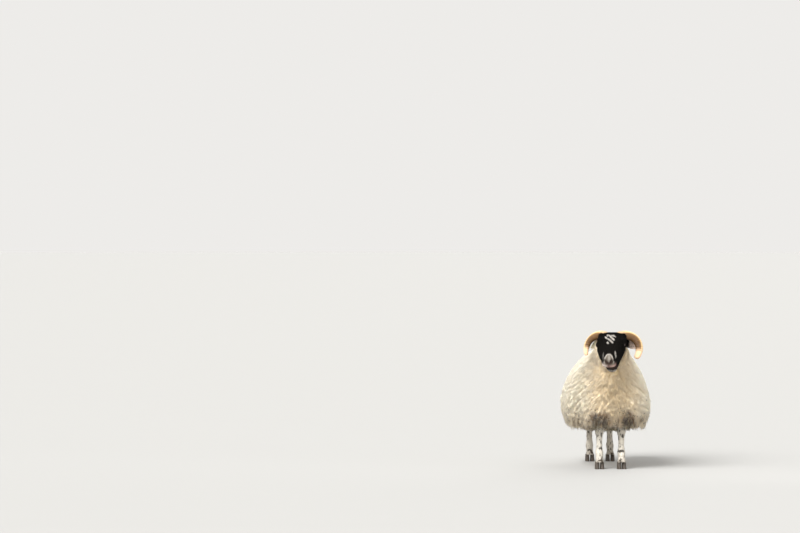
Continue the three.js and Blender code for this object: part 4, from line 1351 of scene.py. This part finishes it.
SEED_CORNERS = 6
burr_faces = (SEED_FACES[None] + (np.arange(len(picked)) * SEED_CORNERS)[:, None, None]).reshape(-1, 3)
burr_mesh = bpy.data.meshes.new("burrs")
burr_mesh.from_pydata((seed_corners.reshape(-1, 3) * MM + SHIFT).tolist(), [], burr_faces.tolist())
burrs = new_object("burrs", burr_mesh)
outward(burrs)


def burr_paint(shade):
    crumbs = shade.noise(240, 2)
    brown = crumbs.mixed((0.016, 0.010, 0.007, 1), (0.06, 0.035, 0.02, 1))
    return {"Base Color": brown, "Roughness": 0.7 + crumbs * 0.2}


burr_mesh.materials.append(finish("burr", burr_paint, {"Specular IOR Level": 0.3}))
burr_mesh.shade_smooth()
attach(burrs, "root")

# ---- The short hair ----------------------------------------------------------------------------
# Sleek hair a few millimetres long covers the face, the ears and the legs, lying back from the nose,
# out along the ears and down the legs. It stands longer over the roots of the horns.
LEG_HAIR_TOP = 316
HAIR_TAPER = np.array([1.0, 0.85, 0.0])


def hair_lie(p):
    """The way short hair lies at places of the face, the ears and the legs."""
    a, _, u = in_head(p)
    back = -ALONG + 0.35 * np.sign(u)[:, None] * OUT * smooth(np.abs(u), 10, 60)[:, None] - 0.15 * HEIGHT
    crown = 1 - smooth(a, -10, 50)
    back = back + crown[:, None] * (0.7 * HEIGHT + np.multiply.outer(np.clip(u / 60, -1, 1), OUT))
    ear = np.sign(u)[:, None] * OUT * 0.66 + BACK * 0.66 - UP * 0.4
    ways = np.where(on_ear(p)[:, None], ear, back)
    return np.where((p[:, 2] < ABOVE_LEGS)[:, None], np.array([0.0, 0.1, -1.0]), ways)


def hair_unwrap(p):
    """An unwrap of the hairy skin: the head and the ears above, and the legs side by side below."""
    a, h, u = in_head(p)
    x, y, z = p.T
    head = np.stack([0.3 + 0.28 * np.arctan2(u, h + 62) / np.pi, 0.55 + 0.4 * (a + 60) / 340], axis=1)
    ear_place = 0.75 + 0.2 * np.sign(u) * (0.5 + (a + 60) / 240)
    ear = np.stack([0.66 + 0.3 * (np.abs(u) - EAR_FROM["out"]) / 80, ear_place], axis=1)
    uv = np.where(on_ear(p)[:, None], ear, head)
    column = (x > 0) * 0.25 + (y > 0) * 0.5 + 0.125
    round_leg = np.arctan2(np.where(y > 0, y - 350, y + 252), np.abs(x) - LEG_MIDDLES["out"]) / np.pi
    leg = np.stack([column + 0.1 * round_leg, 0.02 + 0.46 * z / ABOVE_LEGS], axis=1)
    return np.clip(np.where((z < ABOVE_LEGS)[:, None], leg, uv), *UV_EDGES)


def short_hair(name, share, count, length, width):
    """Hairs over a share of the hairy skin, given as a weight at each of its places."""
    centre = hairy_triangles.mean(axis=1)
    roots, normals = scattered(hairy_triangles, hairy_normals, hairy_areas * share(centre), count)
    way = square_to(normals, hair_lie(roots) + draw.normal(0, 0.14, (count, 3)))
    a, _, u = in_head(roots)
    horn_side = bump(np.abs(u), 56, 22) * (1 - smooth(a, 10, 44)) * (roots[:, 2] > 700)
    on_nose = smooth(a, 90, 225) * (roots[:, 2] > ABOVE_LEGS)
    long = length * draw.uniform(0.75, 1.25, count) * (1 + 1.7 * horn_side) * (1 - 0.6 * on_nose)
    t = np.linspace(0, 1, len(HAIR_TAPER))[None, :, None]
    rise = (0.09 + 0.2 * draw.random(count) ** 3)[:, None, None]
    arch = way[:, None] * t + normals[:, None] * (rise * np.sin(t * 2.2) + 0.06 * t)
    spine = roots[:, None] - normals[:, None] * 0.6 + long[:, None, None] * arch
    across = np.repeat(np.cross(way, normals)[:, None], len(HAIR_TAPER), axis=1)
    lift = np.repeat(normals[:, None], len(HAIR_TAPER), axis=1)
    widths = width * draw.uniform(0.7, 1.2, count)[:, None] * HAIR_TAPER
    tint = tint_at(roots) * draw.uniform(0.75, 1.3, count)[:, None]
    tint = np.clip(np.repeat(tint[:, None], len(HAIR_TAPER), axis=1), 0, 0.9)
    hairs = strand_mesh(name, spine, across, lift, widths, hair_unwrap(roots), tint, hair_finish)


hairy = growth == HAIRY
hairy_triangles, hairy_normals, hairy_areas = skin_triangles[hairy], skin_normals[hairy], skin_areas[hairy]
hair_finish = finish("hair", hair_paint, {"Specular IOR Level": 0.02})


def share_of_face(p):
    a, _, _ = in_head(p)
    bare = np.maximum(smooth(a, -30, 0), smooth(fleece_field(p), -26, -10))
    return (p[:, 2] > ABOVE_LEGS) * ~on_ear(p) * bare * (1 + 1.6 * (a > 190) + 0.7 * (a < 60))


def share_of_ears(p):
    return (p[:, 2] > ABOVE_LEGS) * on_ear(p)


def share_of_legs(p):
    return (p[:, 2] < LEG_HAIR_TOP).astype(float)


short_hair("face_hair", share_of_face, 19500, 8, 1.5)
short_hair("ear_hair", share_of_ears, 2600, 9, 1.4)
short_hair("leg_hair", share_of_legs, 9000, 9, 1.6)

# ---- The horns ---------------------------------------------------------------------------------
# Each horn curls out from the poll, back over the ear and forward again to a blunt tip. Growth
# rings stand out as ridges, lowest at the outer edge, and the tip is smooth. The outer edge is worn
# pale and painted lighter as a highlight; the inner side and the grooves between the rings are
# painted darker with shade.
HORN = {
    "root_spread": 70, "centre_drop": 97, "curl": 81, "start": 112, "end": {1: -36, -1: -24},
    "back_sweep": 56, "radial": {1: (28, 18), -1: (28, 12.5)}, "deep": {1: (23, 14), -1: (23, 10)},
}
HORN_SMOOTH_FROM = 0.80
RING_COUNT, FINE_RING_COUNT = 19, 71
RING_HEIGHT, FINE_RING_HEIGHT = 2.3, 0.22
HORN_BROWN, HORN_SHADED, HORN_RIM_WORN_AND_LIT = (0.215, 0.118, 0.040), (0.10, 0.05, 0.019), (0.62, 0.45, 0.235)
HORN_TIP, HORN_ROOT = (0.64, 0.43, 0.265), (0.30, 0.20, 0.13)
GROOVE_SHADE, GROOVE_SHADE_INNER = (0.10, 0.05, 0.02), (0.035, 0.015, 0.007)


def horn_line(side, t):
    """The middle of a horn, by the share of its length from the root."""
    turn = np.radians(mix(HORN["start"], HORN["end"][side], t))
    out = side * (HORN["root_spread"] + HORN["curl"] * np.cos(turn))
    back = 6 + HORN["back_sweep"] * np.sin(np.pi * signed_power(t, 0.85)) - 16 * t**3
    up = HORN["curl"] * np.sin(turn) - HORN["centre_drop"]
    return POLL + going((out, OUT), (back, BACK), (up, UP))


def horn_rings(side, t):
    """Where the growth rings come along a horn, unevenly: 1 in each groove and 0 between them."""
    warped = t + 0.010 * np.sin(17 * t + 2 * side) + 0.006 * np.sin(41 * t)
    return 0.5 - 0.5 * np.cos(2 * np.pi * RING_COUNT * warped)


def horn_ridge(side, t, turn):
    """Height of the growth rings, in mm: most past the middle of the horn, least at its outer edge."""
    swell = 1 - horn_rings(side, t) ** 2
    fine = np.cos(2 * np.pi * FINE_RING_COUNT * t + 0.5 * np.sin(3 * turn))
    inner = 0.4 + 0.6 * (0.5 - 0.5 * np.cos(turn))
    worn = smooth(t, HORN_SMOOTH_FROM - 0.06, HORN_SMOOTH_FROM + 0.06)
    strength = mix(0.35, 1.0, smooth(t, 0.25, 0.55)) * (1 - worn)
    return RING_HEIGHT * swell * inner * strength + FINE_RING_HEIGHT * fine * (1 - smooth(t, 0.8, 0.9)) - 1.0


def horn_tint(p, side, t, edge):
    """A horn's colours, by the share of its length and from 1 at its outer edge to -1 at the inner."""
    # The inner side is painted darker with shade, and the outer edge lighter, partly worn pale and partly
    # painted highlight.
    shaded = smooth(-edge, -0.6, 0.1) * (1 - smooth(t, 0.7, 0.85)) * (0.65 + 0.5 * lattice(p / 14, 61))
    colour = blend(all_over(HORN_BROWN, p), HORN_SHADED, shaded)
    colour = blend(colour, HORN_RIM_WORN_AND_LIT, smooth(edge, 0.36, 0.7))
    colour = blend(colour, HORN_TIP, smooth(t, 0.72, 0.84))
    rough = smooth(t, 0.3, 0.58) * (1 - smooth(t, HORN_SMOOTH_FROM - 0.03, HORN_SMOOTH_FROM + 0.05))
    # The grooves between the rings are painted darker with shade, most on the shaded inner side.
    groove = horn_rings(side, t) ** 2.5 * rough
    colour = blend(colour, GROOVE_SHADE, 0.45 * groove)
    colour = blend(colour, GROOVE_SHADE_INNER, 0.95 * groove * smooth(-edge, -0.75, -0.1))
    return blend(colour, HORN_ROOT, 0.5 * (1 - smooth(t, 0.06, 0.16)))


def horn_form(name, side):
    out, back = OUT * side * HORN["root_spread"], BACK * HORN["back_sweep"] * 0.6
    hub = POLL + out + back - UP * HORN["centre_drop"]
    grid = []

    def place(around, along):
        here = horn_line(side, along)
        ahead = unit(horn_line(side, along + 0.01) - horn_line(side, along - 0.01))
        away = square_to(ahead, here - hub)
        across = np.cross(ahead, away)
        tip = np.clip((along - 0.93) / 0.07, 0, 1)
        close = np.sqrt(np.maximum(0, 1 - tip * tip))
        turn = around * 2 * np.pi
        ridge = horn_ridge(side, along, turn)
        grid.append((along, np.cos(turn)))
        radial = (mix(*HORN["radial"][side], along) + ridge) * close
        deep = (mix(*HORN["deep"][side], along) + ridge) * close
        return (
            here
            + away * (signed_power(np.cos(turn), 0.8) * radial)[:, None]
            + across * (signed_power(np.sin(turn), 0.9) * deep)[:, None]
        )

    piece = lofted(name, 56, 300, place)
    set_tint(piece, horn_tint(in_millimetres(piece.data), side, *grid[0]))
    return piece


def horn_paint(shade):
    tint = shade.tint()
    grain = shade.noise(90, 4, 0.6)
    fine = shade.noise(700, 2, 0.5)
    aged = (grain.between(0.45, 0.8) * 0.24).mixed(tint, (0.20, 0.115, 0.05, 1))
    bumpy = grain * 1.4 + fine * 0.5
    return {"Base Color": aged, "Roughness": 0.4 + grain * 0.3, "bump": (bumpy, 0.5, 0.0012)}


horn_finish = finish("horn", horn_paint, {"Specular IOR Level": 0.25})
for name, side in SIDES.items():
    horn = horn_form(f"horn_sheath_{name}", side)
    horn.data.materials.append(horn_finish)
    horn.data.shade_smooth()
    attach(horn, "root")
    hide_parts(f"horn_{name}")

# ---- The eyes ----------------------------------------------------------------------------------
# Glossy dark brown eyes with a level bar of a pupil, each a ball that sits in its socket behind the
# lids.
IRIS_REACH, PUPIL = 9.6, {"half_length": 5.6, "half_height": 2.3}
IRIS, IRIS_EDGE = np.array((0.022, 0.011, 0.005)), np.array((0.008, 0.004, 0.003))
EYE_DARK, PUPIL_BLACK = np.array((0.010, 0.007, 0.006)), np.array((0.004, 0.004, 0.005))


def eye_paint(shade):
    return {"Base Color": shade.tint(), "Roughness": 0.06 + shade.noise(300, 2) * 0.03}


EYE_SHINE = {"Coat Weight": 0.16, "Coat Roughness": 0.02, "Specular IOR Level": 0.03}
eye_finish = finish("eye", eye_paint, EYE_SHINE)
for name, side in SIDES.items():
    eye = eye_ball(f"eyeball_{name}", side, EYE["radius"], 96, 64)
    p = in_millimetres(eye.data) - eye_centre(side)
    forward, up, look = eye_frame(side)
    x, y, z = p @ forward, p @ up, p @ look
    off = np.hypot(x, y)
    iris = mix(IRIS, IRIS_EDGE, smooth(off, 3, 9)[:, None])
    colour = np.where(((off < IRIS_REACH) & (z > 0))[:, None], iris, EYE_DARK)
    level = x * np.cos(LID["tilt"]) - y * np.sin(LID["tilt"])
    rise = x * np.sin(LID["tilt"]) + y * np.cos(LID["tilt"])
    bar = np.abs(level / PUPIL["half_length"]) ** 4 + np.abs(rise / PUPIL["half_height"]) ** 4
    set_tint(eye, np.where(((bar < 1) & (z > 0))[:, None], PUPIL_BLACK, colour))
    eye.data.materials.append(eye_finish)
    eye.data.shade_smooth()
    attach(eye, "root")
    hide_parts(f"eye_{name}")

# ---- The claws ---------------------------------------------------------------------------------
# Eight dark claws, two to a foot, of worn horn with faint rings. They are flat under and along the
# cleft, and round outside.


def claw_form(name, x, y, pair):
    layers = 24

    def place(around, along):
        up = np.clip((along * (layers + 1) - 1) / (layers - 1), 0, 1)
        end = between_poles(along)
        turn = around * 2 * np.pi
        across = signed_power(np.cos(turn), 0.7)
        ahead = signed_power(np.sin(turn), 0.9)
        front = mix(CLAW["toe"], CLAW["top_toe"], up)
        back = mix(CLAW["length"] - CLAW["toe"], CLAW["top_heel"], up)
        inside = across * pair < 0
        narrow = np.where((ahead < 0) & ~inside, 1 - 0.5 * ahead**4, 1)
        width = CLAW["half_width"] * np.where(inside, mix(1, 0.9, up), mix(1, 0.86, up) * narrow)
        rings = 0.35 * np.cos(up * 2 * np.pi * 7) * (up > 0.05) - 0.3
        return np.stack(
            [
                x + pair * (CLAW["half_width"] + CLAW["cleft"] / 2) + end * (width + rings) * across,
                y - 10 + end * (np.where(ahead < 0, front, back) + rings) * ahead,
                mix(0.0, CLAW["height"] + 1.5, up),
            ],
            axis=1,
        )

    return lofted(name, 48, layers + 1, place)


def claw_paint(shade):
    grain = shade.noise(120, 4, 0.6, stretch=(1, 1, 6))
    worn = grain.between(0.4, 0.75)
    return {
        "Base Color": worn.mixed((0.022, 0.016, 0.012, 1), (0.12, 0.09, 0.06, 1)),
        "Roughness": 0.45 + grain * 0.3,
        "bump": (grain, 0.5, 0.001),
    }


claw_finish = finish("claw", claw_paint, {"Specular IOR Level": 0.4})
for side_name, side in SIDES.items():
    for kind, (x, y) in STANCE.items():
        for edge, pair in (("outer", side), ("inner", -side)):
            middle_y = y + (4 if kind == "hind" else 0)
            claw = claw_form(f"hoof_{kind}_{side_name}_{edge}", side * x, middle_y, pair)
            claw.data.materials.append(claw_finish)
            claw.data.shade_smooth()
            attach(claw, "root")
            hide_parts(f"claw_{kind}_{side_name}_{edge}")

# ---- The floor, the light and the camera -------------------------------------------------------
# A pale studio floor that runs into the pale backdrop, broad soft light from above in front and
# behind, a weak softbox low at one side, and a long lens at about twice the sheep's height.
FLOOR_PALE, FLOOR_DULL = (0.352, 0.348, 0.337, 1), (0.315, 0.311, 0.302, 1)
bpy.ops.object.select_all(action="DESELECT")
bpy.ops.mesh.primitive_circle_add(vertices=96, radius=90, fill_type="NGON")
floor = bpy.context.object
floor.name = "floor"


def floor_paint(shade):
    return {"Base Color": (shade.noise(2, 2) * 0.05).mixed(FLOOR_PALE, FLOOR_DULL)}


floor.data.materials.append(finish("floor", floor_paint, {"Roughness": 0.9, "Specular IOR Level": 0.1}))
floor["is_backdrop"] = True

world = bpy.data.worlds.new("studio")
bpy.context.scene.world = world
world.use_nodes = True
world.node_tree.nodes["Background"].inputs["Color"].default_value = (1.0, 0.985, 0.96, 1)
world.node_tree.nodes["Background"].inputs["Strength"].default_value = 0.85


def lamp(name, kind, place, aimed_at, settings):
    """A light at a place, facing another."""
    light = bpy.data.lights.new(name, kind)
    for key, value in settings.items():
        setattr(light, key, value)
    made = new_object(name, light)
    made.location = place
    made.rotation_euler = (Vector(place) - Vector(aimed_at)).to_track_quat("Z", "Y").to_euler()


SOFTBOX = {"shape": "RECTANGLE", "energy": 4, "spread": np.radians(50), "size": 0.25, "size_y": 1.0}
lamp("key", "SUN", (-3.0, -3.2, 4.0), (0, 0, 0), {"energy": 6.0, "angle": np.radians(40)})
lamp("rim", "SUN", (1.6, 3.8, 3.0), (0, 0, 0), {"energy": 1.1, "angle": np.radians(50)})
lamp("softbox", "AREA", (2.7, -1.65, 0.85), (0, -0.4, 0.7), SOFTBOX)

# The frame in pixels, what one of them shows at the sheep, and which of them it stands at.
FRAME_WIDTH, FRAME_HEIGHT = 800, 533
PIXEL = 5.8 * MM
STANDS_AT = (605, 464.8)
LENS, SENSOR = 150, 36
AZIMUTH, ELEVATION = np.radians(-2.48), np.radians(1.04)
FOOT_MIDDLE = np.array([0, 35, 0])
right = np.array([np.cos(AZIMUTH), np.sin(AZIMUTH), 0])
level_back = np.array([np.sin(AZIMUTH), -np.cos(AZIMUTH), 0])
back = level_back * np.cos(ELEVATION) + UP * np.sin(ELEVATION)
upward = np.cross(back, right)
aim = FOOT_MIDDLE * MM + SHIFT
aim = aim - right * (STANDS_AT[0] - FRAME_WIDTH / 2) * PIXEL
aim = aim + upward * (STANDS_AT[1] - FRAME_HEIGHT / 2) * PIXEL
distance = PIXEL * LENS / SENSOR * FRAME_WIDTH
turned = Matrix(np.array([right, upward, back]).T).to_4x4()
camera = new_object("camera", bpy.data.cameras.new("camera"))
camera.data.lens = LENS
camera.data.sensor_width = SENSOR
camera.data.clip_end = 200
camera.matrix_world = Matrix.Translation(aim + back * distance) @ turned
bpy.context.scene.camera = camera
bpy.context.scene.view_settings.view_transform = "Standard"

low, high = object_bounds()
